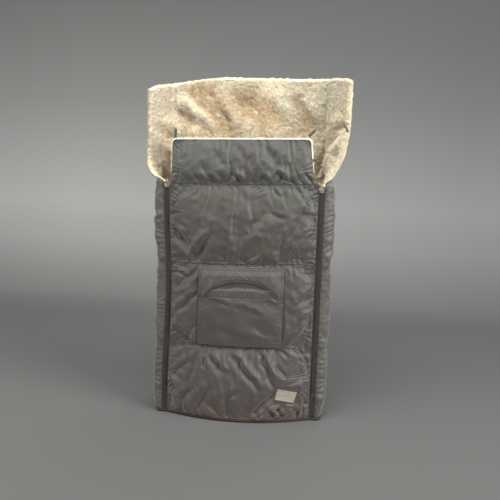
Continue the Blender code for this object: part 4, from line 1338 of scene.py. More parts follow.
    def flap_folds(self) -> tuple[Fold, ...]:
        """Slanted gathers at the flap's foot, and its two soft folds."""
        return (
            Fold((-0.128, 0.678), (-0.104, 0.650), 0.0070, 0.006, 0.7),
            Fold((-0.091, 0.672), (-0.067, 0.649), 0.0061, 0.005, 0.7),
            Fold((-0.033, 0.680), (0.002, 0.649), 0.0070, 0.006, 0.7),
            Fold((0.051, 0.676), (0.071, 0.651), 0.0061, 0.006, 0.7),
            Fold((0.088, 0.682), (0.130, 0.652), 0.0073, 0.006, 0.8),
            Fold((0.168, 0.680), (0.188, 0.654), 0.0053, 0.005),
            Fold((-0.032, 0.760), (0.012, 0.700), 0.0049, 0.011, 0.5),
            Fold((0.046, 0.757), (0.106, 0.692), 0.0053, 0.011, 0.5),
            Fold((-0.085, 0.740), (-0.055, 0.694), 0.0039, 0.011, 0.5))

    def build(self, quilts: Sequence[Quilt]) -> None:
        """Finish the four panels and attach them."""
        shell = self.shop.finishes["shell"]
        for quilt, (body, *nodes) in zip(quilts, (
                (self.shop.cover_bend, "toe_shell", "cover_fold_shell", "lower_shell"),
                ("front_cover", "middle_shell"), ("front_cover", "upper_shell"), (self.shop.flap_bend, "flap_shell"))):
            self.shop.keep(quilt.build(shell), "shell", body, nodes)


@dataclass
class BodyQuilts:
    """The quilted side walls, the back with its slots, and the headboard's outer side."""

    shop: Workshop
    side_step: float = 0.004
    back_step: float = 0.0055
    side_loft: float = 0.007
    back_loft: float = 0.011
    hood_loft: float = 0.010

    def seams(self) -> tuple[float, ...]:
        """Heights of the quilting lines."""
        form = self.shop.form
        return (form.foot, form.lower_seam, form.middle_seam, form.zip_top, form.hood_fold - SKIN)

    def quilts(self) -> list[Quilt]:
        """Left side, right side, back and headboard."""
        form = self.shop.form
        length = form.wall_length
        stops, lengths = form.wall_lengths
        made = []
        for hand in Hand:
            made.append(Quilt(
                f"{hand.word}_side_quilt", columns=spaced([0, length], self.side_step),
                rows=spaced(self.seams(), self.side_step),
                place=lambda c, z, sign=hand.value: form.wall(np.interp(c, lengths, stops), z, sign),
                seams=self.seams(), loft=self.side_loft, room=0.001, edge_share=0.5, seed=50 + hand.value,
                tuck_depth=0.0040, tuck_pitch=0.016, tuck_reach=0.026, edge_pitch=0.015, edge_depth=0.0065))
        back_half = form.arc_x - 2 * SKIN
        made.append(Quilt(
            "back_quilt", columns=spaced([-back_half, back_half], self.back_step),
            rows=spaced(self.seams(), self.back_step), place=form.ring, seams=self.seams(),
            loft=self.back_loft, room=0.003, edge_share=0.5, seed=61, tuck_pitch=0.020, tuck_reach=0.03))
        made.append(Quilt(
            "hood_quilt", columns=spaced([-form.ring_half, form.ring_half], self.back_step),
            rows=spaced([0, 1], self.back_step / (form.hood_top - form.hood_fold)),
            place=self.hood_place, seams=(0, 1), loft=self.hood_loft, room=0.003, edge_share=0.5, seed=67,
            tuck_pitch=0.020, tuck_reach=0.2, tuck_depth=0.0015, edge_depth=0.0015))
        return made

    def hood_place(self, along: Array, share: Array) -> Surface:
        """Headboard's seam surface. share is 0 at the fold and 1 at the top edge."""
        form = self.shop.form
        low = form.hood_fold + SKIN
        return form.ring(along, low + (form.hood_top_at(along) - low) * share)

    def build(self, quilts: Sequence[Quilt]) -> None:
        """Finish the four pieces and attach them."""
        # Painted light: the side walls take the paler side finish.
        looks = [self.shop.finishes[key] for key in ("side", "side", "shell", "shell")]
        left, right, back, hood = (quilt.build(look) for quilt, look in zip(quilts, looks))
        cut_slots(back)
        for obj, body, nodes in (
                (left, "sack", ("left_side_shell",)), (right, "sack", ("right_side_shell",)),
                (back, "sack", ("back_shell",)), (hood, self.shop.hood_bend, ("hood_shell",))):
            self.shop.keep(obj, "shell", body, nodes)


def stadium(middle: Vector, half: float, reach: float, turns: Array) -> tuple[Array, Array]:
    """X and Z of an upright outline with round ends of radius half, whose centres are reach off the middle."""
    return (middle.x + half * np.cos(turns),
            middle.z + np.where(np.sin(turns) > 0, reach, -reach) + half * np.sin(turns))


SLOTS = ("left_shoulder_slot_binding", "right_shoulder_slot_binding", "crotch_slot_binding")


def cut_slots(wall: bpy.types.Object) -> None:
    """Cut the three harness slots through a wall."""
    for node in SLOTS:
        cutter = stadium_prism(f"{node}_cutter", *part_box(node))
        cut = wall.modifiers.new(node, "BOOLEAN")
        cut.operation = "DIFFERENCE"
        cut.object = cutter
        cut.solver = "EXACT"
        settle(wall)
        bpy.data.objects.remove(cutter)


def stadium_prism(name: str, low: Vector, high: Vector, clearance: float = 0.0003, past: float = 0.02,
                  sides: int = 16) -> bpy.types.Object:
    """A tall prism with round ends, through a wall between two corners and past its faces."""
    half = (high.x - low.x) / 2 + clearance
    reach = (high.z - low.z) / 2 + clearance - half
    turns = np.linspace(0, math.tau, 2 * sides, endpoint=False) + math.pi / (2 * sides)
    x, z = stadium((low + high) / 2, half, reach, turns)
    mesh = bpy.data.meshes.new(name)
    with editing(mesh) as bm:
        rings = [[bm.verts.new((a, y, b)) for a, b in zip(x, z)] for y in (low.y - past, high.y + past)]
        for i in range(len(x)):
            bm.faces.new((rings[0][i - 1], rings[0][i], rings[1][i], rings[1][i - 1]))
        for ring in rings:
            bm.faces.new(ring)
        bmesh.ops.recalc_face_normals(bm, faces=bm.faces)
    return linked(name, mesh)


def pile(points: Array, curl: float, seed: float) -> Array:
    """Height of curly pile from 0 to 1 at each point, with curls of the given size."""
    flat = points.reshape(-1, 3) / curl + seed
    found = np.empty(len(flat))
    for number, point in enumerate(flat.tolist()):
        found[number] = noise.voronoi(point, distance_metric="DISTANCE")[0][0]
    return np.clip(1 - found, 0, 1).reshape(points.shape[:-1])


@dataclass
class Fleeces:
    """The cream lining: headboard, sack, cover and flap."""

    shop: Workshop
    pile_tree: bpy.types.NodeTree
    curl: float = 0.010
    curl_depth: float = 0.0026
    length: float = 0.0052
    rim: float = 0.0065
    inset: float = 0.004
    side_inset: float = 0.0015
    fine_step: float = 0.0032
    coarse_step: float = 0.010
    hood_low: float = 0.600
    peek: float = 0.003
    flap_columns: int = 120
    slot_clear: float = 0.012
    fine_density: float = 290e3
    hidden_density: float = 90e3
    sack_density: float = 70e3
    front_density: float = 100e3
    flap_density: float = 260e3
    corner_reach: int = 6
    sack_reach: int = 2
    clear: float = 0.002
    rim_uneven: float = 0.16
    rim_from: float = 0.02
    shade: float = 0.34
    shade_per_metre: float = 90
    rim_shade: float = 0.50
    past_shade: float = 0.5
    swirl: float = math.radians(-48)
    swirl_broad: float = 0.35
    swirl_fine: float = 0.30
    stand: float = 0.34
    stand_uneven: float = 0.14
    least_sweep: float = 0.35
    fold_out: float = 0.005
    fold_in: float = 0.016
    corner_out: float = 0.006
    corner_width: float = 0.016
    hood_wave: float = 0.0020
    sack_wave: float = 0.0012
    edge_wave: float = 0.0010
    peek_wave: float = 0.0012
    flap_extra_shade: float = 0.40

    def furry(self, name: str, place: Place, along: Array, z: Array, lift: Array, density: Array, seed: int,
              over: Array | None = None, extra_shade: Array | float = 0.0, slotted: bool = False) -> bpy.types.Object:
        """A fleece sheet with pile on the side away from the shell.

        Args:
            name: the piece's name.
            place: gives points and outward normals for along and z.
            along: places round the sheet.
            z: heights.
            lift: how far the sheet sinks towards the shell, or stands out where negative.
            density: tufts per square metre at each point.
            seed: picks the curls and tufts.
            over: lengths across and up by which each point is rolled over the sheet's border.
            extra_shade: painted shade added to its hollow tint; below 0 it takes shade away, as painted light.
            slotted: whether the harness slots are cut through it.

        Returns:
            The sheet and its tufts as one mesh.
        """
        points, normals = place(along, z)
        reach = self.sack_reach if over is None else self.corner_reach
        normals = unit(np.stack([smoothed(part, reach) for part in np.moveaxis(normals, -1, 0)], -1))
        level = unit(np.stack([normals[..., 1], -normals[..., 0], np.zeros_like(z)], -1))
        rise = np.array([0.0, 0.0, 1.0])
        over = np.zeros((*z.shape, 2)) if over is None else over
        far = np.linalg.norm(over, axis=-1)
        turn = np.abs(over).max(-1) / self.rim * np.clip((z - self.shop.form.zip_top) / self.rim_from, 0.15, 1)
        radius = (self.rim * (1 + self.rim_uneven * waves(along, z, 0.026, seed + 4)))[..., None]
        share = over / np.maximum(far, 1e-9)[..., None]
        sideways = level * share[..., :1] + rise * share[..., 1:]
        facing = sideways * np.sin(turn)[..., None] - normals * np.cos(turn)[..., None]
        height = pile(points + 0.01 * facing, self.curl, seed)
        number = [np.minimum(np.arange(count), np.arange(count)[::-1]) for count in along.shape]
        soft = np.clip(np.minimum(number[0][:, None], number[1][None, :]) / 2, 0, 1) ** 0.5
        flat = np.cos(turn) ** 2
        depth = LINING_BACK + self.clear + soft * flat * (lift - self.clear - self.curl_depth * (height - 0.5))
        core = points + normals * (depth + self.rim)[..., None]
        inner = core + facing * (self.rim + (radius - self.rim) * np.sin(turn)[..., None])
        backed = self.rim + depth - LINING_FACE
        outer = core + facing * backed[..., None]
        # Painted shade: hollow_shade grows where the fleece sinks into a fold, and rim_shade sets it on the rolled
        # rim.
        hollow_shade = np.clip(self.shade + extra_shade + self.shade_per_metre * lift + 0.1 * waves(along, z, 0.07, seed), 0, 1)
        hollow_shade = hollow_shade * flat + self.rim_shade * (1 - flat)
        # The sheet's loft is low between the curls, where the fleece material paints shade.
        sheet = shell_between(
            name + "_sheet", inner, outer, np.stack([along, z], -1) + over, self.shop.finishes["fleece"],
            0.2 + 0.4 * height, 1 if over is None else 3)
        swirl = self.swirl + self.swirl_broad * waves(along, z, 0.12, seed + 1)
        swirl += self.swirl_fine * waves(along, z, 0.022, seed + 2)
        swept = level * np.cos(swirl)[..., None] + rise * np.sin(swirl)[..., None]
        stand = np.clip(self.stand + self.stand_uneven * waves(along, z, 0.014, seed + 3), 0.15, 0.8)
        sweep = self.least_sweep + (1 - self.least_sweep) * flat
        lean = unit(swept * sweep[..., None] + facing * stand[..., None])
        rest = len(sheet.data.vertices) - along.size
        for key, values, past in (("tufts", density, 0.0), ("hollow_shade", hollow_shade, self.past_shade), ("lean", lean, 0.0)):
            flat = values.reshape(along.size, *values.shape[2:])
            store(sheet.data, key, np.concatenate([flat, np.full((rest, *flat.shape[1:]), past)]))
        if slotted:
            cut_slots(sheet)
        return run_tree(self.pile_tree, sheet, name, self.shop.finishes["fleece"], Length=self.length, Seed=seed)

    def build(self) -> None:
        """Make every fleece piece."""
        self.build_headboard()
        self.build_sack()
        self.build_front()

    def build_headboard(self) -> None:
        """The fleece that faces the front above the cover, wing to wing."""
        form = self.shop.form
        roll = math.pi * self.rim
        half = form.ring_half - self.side_inset
        wrap = np.linspace(0, roll, 11)[1:]
        columns = np.concatenate([-half - wrap[::-1], spaced([-half, half], self.fine_step), half + wrap])
        rows = np.append(spaced([0, 1], self.fine_step / (form.hood_top - self.hood_low)), 1 + wrap)
        column, row = lattice(columns, rows)
        along = np.clip(column, -half, half)
        over = np.stack([column - along, np.clip(row - 1, 0, None)], -1)
        top = form.hood_top_at(along) - self.inset
        z = self.hood_low + (top - self.hood_low) * np.clip(row, 0, 1)
        spot = form.ring(along, z)[0]
        x, height = spot[..., 0], spot[..., 2]
        lift = -sum(fold.lift(x, height) for fold in self.headboard_folds())
        lift = np.clip(lift - self.hood_wave * waves(x, height, 0.10, 5), -self.fold_in, self.fold_out)
        lift -= self.corner_out * bell(np.abs(along), self.corner_width, form.arc_x)
        seen = (z > 0.755) | ((np.abs(along) > form.arc_x - 0.060) & (z > form.zip_top - 0.01))
        density = np.where(seen, self.fine_density, self.hidden_density)
        # Painted shade browns the headboard's middle, and painted light pales its wings, which the lamps barely reach.
        extra_shade = 0.50 * np.exp(-((x + 0.07) / 0.20) ** 4) * np.clip((0.93 - height) / 0.05, 0, 1)
        extra_shade -= 0.35 * np.clip((np.abs(x) - 0.22) / 0.03, 0, 1)
        obj = self.furry("headboard_fleece", form.ring, along, z, lift, density, 3, over, extra_shade)
        self.shop.keep(obj, "fleece", self.shop.hood_bend, ("hood_lining",))

    def headboard_folds(self) -> tuple[Fold, ...]:
        """Broad soft folds of the headboard, from its corners to the sack's middle."""
        return (
            Fold((-0.165, 0.915), (-0.050, 0.770), 0.0130, 0.026, 0.4, side=-1),
            Fold((-0.235, 0.850), (-0.095, 0.772), 0.0060, 0.015, 1.3, side=1),
            Fold((-0.262, 0.800), (-0.205, 0.745), 0.0060, 0.012, 1.0, side=1),
            Fold((-0.060, 0.890), (0.050, 0.785), 0.0050, 0.022, 0.8, side=-1),
            Fold((0.196, 0.665), (0.222, 0.750), 0.0080, 0.012, 1.1, side=-1),
            Fold((0.222, 0.741), (0.246, 0.790), 0.0080, 0.012, 1.1, side=-1),
            Fold((0.236, 0.790), (0.272, 0.812), 0.0060, 0.011, 1.0, side=1),
            Fold((0.120, 0.890), (0.176, 0.780), 0.0080, 0.022, 0.6),
            Fold((0.030, 0.860), (0.110, 0.800), 0.0040, 0.018, 0.8),
            Fold((-0.250, 0.745), (-0.205, 0.665), 0.0060, 0.012, 0.9))

    def build_sack(self) -> None:
        """The rest of the lining inside the sack, on the walls."""
        form = self.shop.form
        reach = form.ring_half - 0.0085
        rows = spaced([form.foot, self.hood_low - 0.001], self.coarse_step)
        along, z = lattice(spaced([-reach, reach], self.coarse_step), rows)
        lift = self.clear + self.sack_wave * waves(along, z, 0.09, 9)
        density = np.full_like(z, self.sack_density)
        for node in SLOTS:
            low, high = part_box(node)
            near_x = (low.x - self.slot_clear < along) & (along < high.x + self.slot_clear)
            density[near_x & (low.z - self.slot_clear < z) & (z < high.z + self.slot_clear)] = 0
        obj = self.furry("sack_fleece", form.ring, along, z, lift, density, 8, slotted=True)
        self.shop.keep(obj, "fleece", "sack", ("back_lining", "left_side_lining", "right_side_lining"))

    def build_front(self) -> None:
        """Lining of the cover and the toe, and of the flap, where it shows as a cream edge."""
        form = self.shop.form
        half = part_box("cover_lining")[1].x
        rows = spaced([form.foot + SKIN, form.zip_top - SKIN], self.coarse_step)
        x, z = lattice(spaced([-half, half], self.coarse_step), rows)
        density = np.full_like(x, self.front_density)
        obj = self.furry("front_fleece", form.front, x, z, np.full_like(x, self.clear), density, 5)
        self.shop.keep(obj, "fleece", self.shop.cover_bend, ("toe_lining", "cover_fold_lining", "cover_lining"))
        rows = spaced([form.zip_top + SKIN, form.flap_top + self.peek], self.fine_step)
        share, z = lattice(np.linspace(-1, 1, self.flap_columns), rows)
        below = np.clip((form.flap_top - z) / (form.flap_top - form.zip_top), 0, 1)
        half_at = form.flap_half(z, share) + self.peek - (self.peek + form.panel_half - half) * below ** 4
        half_at = half_at + self.edge_wave * waves(z, share, 0.016, 7)
        peek = np.clip((z - form.flap_top) / self.peek, 0, 1)
        z = z + self.peek_wave * waves(share * half_at, 0 * z, 0.020, 8) * peek
        density = np.full_like(z, self.flap_density)
        x, still = share * half_at, np.zeros_like(z)
        # Painted shade tans the flap's fleece edge, which the light from above leaves too bright.
        obj = self.furry("flap_fleece", form.panel, x, z, still, density, 6, extra_shade=self.flap_extra_shade)
        self.shop.keep(obj, "fleece", self.shop.flap_bend, ("flap_lining",))


def geometry_tree(name: str, inputs: dict[str, tuple[str, object]]) -> Tree:
    """Start a Geometry Nodes tree with a Geometry input, the given ones and a Finish."""
    sockets = {"Geometry": ("Geometry", None), **inputs, "Finish": ("Material", None)}
    return Tree.group("GeometryNodeTree", name, sockets, {"Geometry": "Geometry"})


def run_tree(tree: bpy.types.NodeTree, carrier: bpy.types.Object, name: str, finish: bpy.types.Material,
             **values: object) -> bpy.types.Object:
    """Run a Geometry Nodes tree on a carrier, and keep the result as a plain mesh.

    Args:
        tree: the Geometry Nodes tree.
        carrier: the object it runs on, which is removed.
        name: the new piece's name.
        finish: its material, also given to the tree.
        values: the tree's inputs by name.

    Returns:
        The new piece.
    """
    modifier = carrier.modifiers.new(name, "NODES")
    modifier.node_group = tree
    given = values | {"Finish": finish}
    for item in tree.interface.items_tree:
        if item.item_type == "SOCKET" and item.in_out == "INPUT" and item.name in given:
            modifier[item.identifier] = given[item.name]
    depsgraph = bpy.context.evaluated_depsgraph_get()
    mesh = bpy.data.meshes.new_from_object(carrier.evaluated_get(depsgraph))
    mesh.name = name
    bpy.data.objects.remove(carrier)
    mesh.shade_smooth()
    return new_object(name, mesh, finish)


def build_coil_tree() -> bpy.types.NodeTree:
    """A zip's coil: one thread wound in a long flat spiral."""
    tree = geometry_tree("zip_coil", {
        "Length": ("Float", 0.5), "Pitch": ("Float", 0.0016), "Width": ("Float", 0.003), "Depth": ("Float", 0.002),
        "Wire": ("Float", 0.0005), "Middle": ("Vector", None)})
    given = tree.given
    spiral = tree.add(
        "GeometryNodeCurveSpiral", Resolution=10, Start_Radius=0.5, End_Radius=0.5, Height=given["Length"],
        Rotations=tree.math("DIVIDE", given["Length"], given["Pitch"]))
    size = tree.add("ShaderNodeCombineXYZ", X=given["Width"], Y=given["Depth"], Z=1.0)
    place = tree.add(
        "GeometryNodeTransform", Geometry=spiral.outputs["Curve"], Scale=size.outputs["Vector"],
        Translation=given["Middle"])
    ring = tree.add("GeometryNodeCurvePrimitiveCircle", Resolution=5, Radius=given["Wire"])
    tube = tree.add(
        "GeometryNodeCurveToMesh", Curve=place.outputs["Geometry"], Profile_Curve=ring.outputs["Curve"],
        Fill_Caps=True)
    return tree.finished(tree.real(tube.outputs["Mesh"]))


def build_stitch_tree() -> bpy.types.NodeTree:
    """Stitches along lines that carry an outward direction."""
    tree = geometry_tree("stitches", {
        "Pitch": ("Float", 0.0035), "Length": ("Float", 0.0026), "Thickness": ("Float", 0.0006)})
    given = tree.given
    line = tree.add("GeometryNodeMeshToCurve", Mesh=given["Geometry"])
    even = tree.add("GeometryNodeResampleCurve", mode="LENGTH", Curve=line.outputs["Curve"], Length=given["Pitch"])
    tangent = tree.add("GeometryNodeInputTangent").outputs["Tangent"]
    first = tree.add("FunctionNodeAlignRotationToVector", axis="X", Vector=tangent)
    second = tree.add(
        "FunctionNodeAlignRotationToVector", axis="Z", pivot_axis="X", Rotation=first.outputs["Rotation"],
        Vector=tree.attribute("outward"))
    bead = tree.add("GeometryNodeMeshUVSphere", Segments=6, Rings=4, Radius=0.5)
    turned = tree.add("GeometryNodeTransform", Geometry=bead.outputs["Mesh"], Rotation=(0, math.pi / 2, 0))
    size = tree.add("ShaderNodeCombineXYZ", X=given["Length"], Y=given["Thickness"], Z=given["Thickness"])
    placed = tree.add(
        "GeometryNodeInstanceOnPoints", Points=even.outputs["Curve"], Instance=turned.outputs["Geometry"],
        Rotation=second.outputs["Rotation"], Scale=size.outputs["Vector"])
    return tree.finished(tree.real(placed.outputs["Instances"]))


def build_pile_tree() -> bpy.types.NodeTree:
    """Tufts of fleece: slim cones over a sheet, leaning as its own directions say."""
    tree = geometry_tree("fleece_pile", {
        "Length": ("Float", 0.008), "Radius": ("Float", 0.0013), "Wildness": ("Float", 0.40), "Seed": ("Int", 1)})
    given = tree.given
    places = tree.add(
        "GeometryNodeDistributePointsOnFaces", Mesh=given["Geometry"], Seed=given["Seed"],
        Density=tree.attribute("tufts", "FLOAT"))
    stray = tree.add("FunctionNodeRandomValue", data_type="FLOAT_VECTOR", Min=(-1, -1, -1), Seed=given["Seed"])
    wild = tree.add("ShaderNodeVectorMath", operation="SCALE", Vector=stray.outputs[0], Scale=given["Wildness"])
    aim = tree.add("ShaderNodeVectorMath", operation="ADD")
    for socket, value in zip(aim.inputs, (tree.attribute("lean"), wild.outputs["Vector"])):
        tree.feed(socket, value)
    turned = tree.add("FunctionNodeAlignRotationToVector", axis="Z", Vector=aim.outputs["Vector"])
    pace = tree.add("FunctionNodeRandomValue", data_type="FLOAT", Min=0.6, Max=1.25, Seed=given["Seed"])
    size = tree.add(
        "ShaderNodeCombineXYZ", X=given["Radius"], Y=given["Radius"],
        Z=tree.math("MULTIPLY", given["Length"], pace.outputs[1]))
    lock = tree.add(
        "GeometryNodeMeshCone", fill_type="NONE", Vertices=3, Radius_Top=0.0, Radius_Bottom=1.0, Depth=1.0)
    # The tufts' loft runs from 0.25 at the root to 1 at the tip; the fleece paints shade at the roots from it.
    height = tree.parts(tree.add("GeometryNodeInputPosition").outputs["Position"])["Z"]
    shaded = tree.add(
        "GeometryNodeStoreNamedAttribute", data_type="FLOAT", domain="POINT", Geometry=lock.outputs["Mesh"],
        Name="loft", Value=tree.math("MULTIPLY_ADD", height, 0.75, 0.25))
    placed = tree.add(
        "GeometryNodeInstanceOnPoints", Points=places.outputs["Points"], Instance=shaded.outputs["Geometry"],
        Rotation=turned.outputs["Rotation"], Scale=size.outputs["Vector"])
    whole = tree.add("GeometryNodeJoinGeometry")
    for part in (given["Geometry"], tree.real(placed.outputs["Instances"])):
        tree.feed(whole.inputs["Geometry"], part)
    return tree.finished(whole.outputs["Geometry"])


def line_carrier(name: str, lines: Sequence[tuple[Array, Array]]) -> bpy.types.Object:
    """A mesh of edges for stitches: each line is points and their outward directions."""
    mesh = bpy.data.meshes.new(name)
    points, edges, outward = [], [], []
    for line, normals in lines:
        edges += [(len(points) + i, len(points) + i + 1) for i in range(len(line) - 1)]
        points += line.tolist()
        outward += normals.tolist()
    mesh.from_pydata(points, edges, [])
    store(mesh, "outward", np.array(outward).reshape(-1, 3))
    return linked(name, mesh)


@dataclass
class Zip:
    """One long zip: tapes, coils, stops, slider and pull."""

    shop: Workshop
    coil_tree: bpy.types.NodeTree
    hand: Hand
    step: float = 0.004
    pitch: float = 0.0013
    wire: float = 0.00052
    tape_columns: int = 8
    cord: float = 0.00025
    stop_round: float = 0.0005
    slider_round: float = 0.0004
    pull_round: float = 0.0003

    def tape(self, node: str, body: Body) -> None:
        """A woven tape in the place of a node, with a raised cord beside the coil."""
        low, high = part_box(node)
        x, z = lattice(np.linspace(low.x, high.x, self.tape_columns), spaced([low.z, high.z], self.step))
        width = high.x - low.x
        share = (x - low.x) / width
        from_zip = np.abs(np.abs(x) - self.shop.form.zip_half)
        swell = self.cord * np.sin(math.pi * np.clip(from_zip / width, 0, 1))
        front = np.stack([x, low.y - swell + 0 * z, z], -1)
        rear = np.stack([x, np.full_like(x, high.y), z], -1)
        loft = np.clip(np.minimum(share, 1 - share) * 5, 0, 1)
        obj = shell_between(node + "_cloth", front, rear, np.stack([x, z], -1), self.shop.finishes["tape"], loft, 3)
        self.bend(obj)
        self.shop.keep(obj, "tape", body, (node,))

    def coil(self, node: str, body: Body) -> None:
        """A coil half in the place of a chain node."""
        low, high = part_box(node)
        middle = Vector(((low.x + high.x) / 2, (low.y + high.y) / 2, low.z))
        obj = run_tree(
            self.coil_tree, line_carrier(f"{node}_carrier", []), f"{node}_coil", self.shop.finishes["chain"],
            Length=high.z - low.z, Pitch=self.pitch, Width=high.x - low.x - self.wire,
            Depth=high.y - low.y - 2 * self.wire, Wire=self.wire, Middle=middle)
        self.bend(obj)
        self.shop.keep(obj, "chain", body, (node,))

    def bend(self, obj: bpy.types.Object) -> None:
        """Move a straight piece of the zip with the cloth it is sewn to."""
        put_points(obj.data, self.shop.form.bowed(points_of(obj.data)))

    def rounded(self, node: str, body: str, finish: str, width: float) -> None:
        """A copy of a hard node with its edges rounded."""
        mesh = bpy.data.objects[node].data.copy()
        with editing(mesh) as bm:
            bmesh.ops.remove_doubles(bm, verts=bm.verts, dist=TOUCH)
            bmesh.ops.dissolve_limit(bm, angle_limit=0.01, verts=bm.verts, edges=bm.edges)
        obj = new_object(f"{node}_cast", mesh, self.shop.finishes[finish])
        soften(obj, width, math.radians(50))
        self.shop.keep(obj, finish, body, (node,))

    def build(self) -> None:
        """Make the whole zip."""
        word = self.hand.word
        strips = (("side", "sack"), ("toe", "sack"), ("cover", self.shop.cover_bend))
        for part, body in strips:
            self.tape(f"{word}_zip_{part}_tape", body)
        for part, body in strips:
            self.coil(f"{word}_zip_{part}_chain", body)
        for part in ("top_stop", "bottom_stop"):
            self.rounded(f"{word}_zip_{part}", "sack", "stop", self.stop_round)
        self.rounded(f"{word}_zip_slider", f"{word}_slider", "slider", self.slider_round)
        self.rounded(f"{word}_zip_pull", f"{word}_pull", "slider", self.pull_round)


@dataclass
class Pocket:
    """Patch pocket: gathered bag and hem under a facing with an arched edge, all topstitched."""

    shop: Workshop
    front: FrontQuilts
    stitch_tree: bpy.types.NodeTree
    half: float = 0.114
    margin: float = 0.005
    mouth: float = 0.352
    hem: float = 0.044
    room: float = 0.0095
    side_foot: float = 0.343
    arch_top: float = 0.391
    arch_inset: float = 0.015
    arch_power: float = 2.4
    step: float = 0.0025
    near_line: float = 0.0015
    far_line: float = 0.0075
    line_width: float = 0.0012
    line_depth: float = 0.0012
    bag_thickness: float = 0.0030
    bag_edge: float = 0.006
    bag_seam: float = 0.0030
    bag_wave: float = 0.0018
    bag_deepest: float = 0.0022
    hem_thickness: float = 0.0034
    hem_lip: float = 0.42
    hem_ruffle: float = 0.0034
    hem_least: float = 0.0008
    facing_thickness: float = 0.0026
    facing_over: float = 0.0030
    facing_rows: int = 56
    facing_slope: float = 0.6
    facing_deepest: float = 0.0014
    facing_edge: float = 0.01
    roll_height: float = 0.0042
    shade_reach: float = 0.0045
    stitch_over: float = 0.0018
    stitch_ends: float = 0.010
    stitch_foot: float = 0.004

    def rest(self, x: Array, z: Array) -> Array:
        """Offset of the panel's face behind the pocket."""
        form = self.shop.form
        return self.front.face(x, z, form.lower_seam, form.middle_seam)

    def lift(self, x: Array, z: Array) -> Array:
        """Room between the pocket's cloth and the panel."""
        foot = self.shop.form.lower_seam + self.margin
        rise = np.clip((z - foot) / (self.mouth - foot), 0, 1)
        return self.room * (1 - np.abs(x / self.half) ** 4) * np.sin(math.pi / 2 * rise) ** 0.7

    def under(self, x: Array, z: Array) -> Array:
        """Inner offset of the bag and the hem."""
        return self.rest(x, z) + 4 * SKIN + self.lift(x, z)

    def cloth(self, name: str, x: Array, z: Array, inner: Array, thickness: Array, node: str, painted_shade_mask: Array) -> None:
        """One layer of the pocket between an inner offset and its thickness. painted_shade_mask is 1 where the painted
        shade is darkest.
        """
        points, normals = self.shop.form.panel(x, z)
        outer = points + normals * (inner + thickness)[..., None]
        rear = points + normals * inner[..., None]
        obj = shell_between(
            name, outer, rear, np.stack([x, z], -1), self.shop.finishes["shell"], 0.8 * (1 - painted_shade_mask), 2)
        obj = subdivide(obj)
        self.shop.keep(obj, "shell", "front_cover", (node,))

    def build(self) -> None:
        """Make the bag, the hem, the facing with its rolled edge, and the stitches."""
        near, far = self.half - self.near_line, self.half - self.far_line
        columns = spaced([-self.half, -near, -far, far, near, self.half], self.step)
        self.build_bag(columns)
        self.build_hem()
        self.build_facing(columns)
        self.build_stitches()

    def build_bag(self, columns: Array) -> None:
        """The bag, with tucks along its seams and mouth."""
        foot = self.shop.form.lower_seam + self.margin
        x, z = lattice(columns, spaced([foot, self.mouth], self.step))
        side = self.half - np.abs(x)
        tucks = sum(
            depth * gathers(along, away, pitch, reach, seed) for depth, along, away, pitch, reach, seed in (
                (0.0026, x, self.mouth - z, 0.009, 0.024, 71), (0.0030, x, z - foot, 0.016, 0.022, 73),
                (0.0026, z, side, 0.016, 0.020, 74)))
        tucks += self.bag_wave * waves(x, z, 0.06, 72) + sum(fold.lift(x, z) for fold in self.folds())
        soft = np.clip(np.minimum(side, z - foot) / self.bag_edge, 0, 1)
        # Painted shade under the facing's arch and along the bag's side seams.
        painted_shade_mask = np.clip(self.shade(x, z) + bell(side, self.bag_seam), 0, 1)
        thick = self.bag_thickness + np.maximum(tucks * soft, -self.bag_deepest)
        self.cloth("pocket_bag_cloth", x, z, self.under(x, z), thick, "pocket_bag", painted_shade_mask)

    def build_hem(self) -> None:
        """The crimped hem, whose lip ends under the facing's arch."""
        rows = spaced([self.mouth + 2 * SKIN, self.mouth + self.hem], self.step)
        x, z = lattice(spaced([-self.half, self.half], 0.5 * self.step), rows)
        still = np.zeros_like(x)
        crimp = gathers(x, still, 0.0080, 1.0, 75)
        above = z - (self.mouth + self.hem_lip * self.hem)
        across = bell(above, 0.0075, -0.004)
        gap = 1 / (1 + np.exp(-(above - 0.0030 - 0.004 * waves(x, still, 0.05, 76)) / 0.0010))
        ruffle = (self.hem_ruffle * crimp + 0.0012) * across + 0.0010 * bell(above, 0.0018, 0.0005)
        thick = (self.hem_thickness + ruffle) * (1 - gap) + self.hem_least * gap
        # Painted shade under the arch, in the ruffles' valleys and in the gap under the facing.
        painted_shade_mask = np.clip(self.shade(x, z) - 1.1 * crimp * across * (1 - gap) + gap, 0, 1)
        thick = np.clip(thick, self.hem_least, None)
        self.cloth("pocket_hem_cloth", x, z, self.under(x, z), thick, "pocket_hem", painted_shade_mask)

    def folds(self) -> tuple[Fold, ...]:
        """Soft creases of the pocket's bag."""
        return (
            Fold((-0.087, 0.344), (-0.019, 0.328), 0.0030, 0.006, 1.0, side=1),
            Fold((-0.019, 0.330), (0.063, 0.303), 0.0034, 0.007, 1.2, side=1),
            Fold((-0.105, 0.279), (-0.092, 0.230), 0.0026, 0.006),
            Fold((0.062, 0.344), (0.100, 0.326), 0.0030, 0.006),
            Fold((-0.060, 0.262), (0.020, 0.235), 0.0022, 0.010, 0.9),
            Fold((0.030, 0.275), (0.096, 0.248), 0.0024, 0.009, 0.9, side=-1))

    def shade(self, x: Array, z: Array) -> Array:
        """Painted shadow under the facing's edge, 1 along the edge and fading below it."""
        return np.exp(-(np.clip(self.arch(x) - z, 0, None) / self.shade_reach) ** 4)

    def arch(self, x: Array) -> Array:
        """Height of the facing's lower edge."""
        share = 1 - np.abs(x / (self.half - self.arch_inset)) ** self.arch_power
        return self.side_foot + (self.arch_top - self.side_foot) * np.clip(share, 0, None)

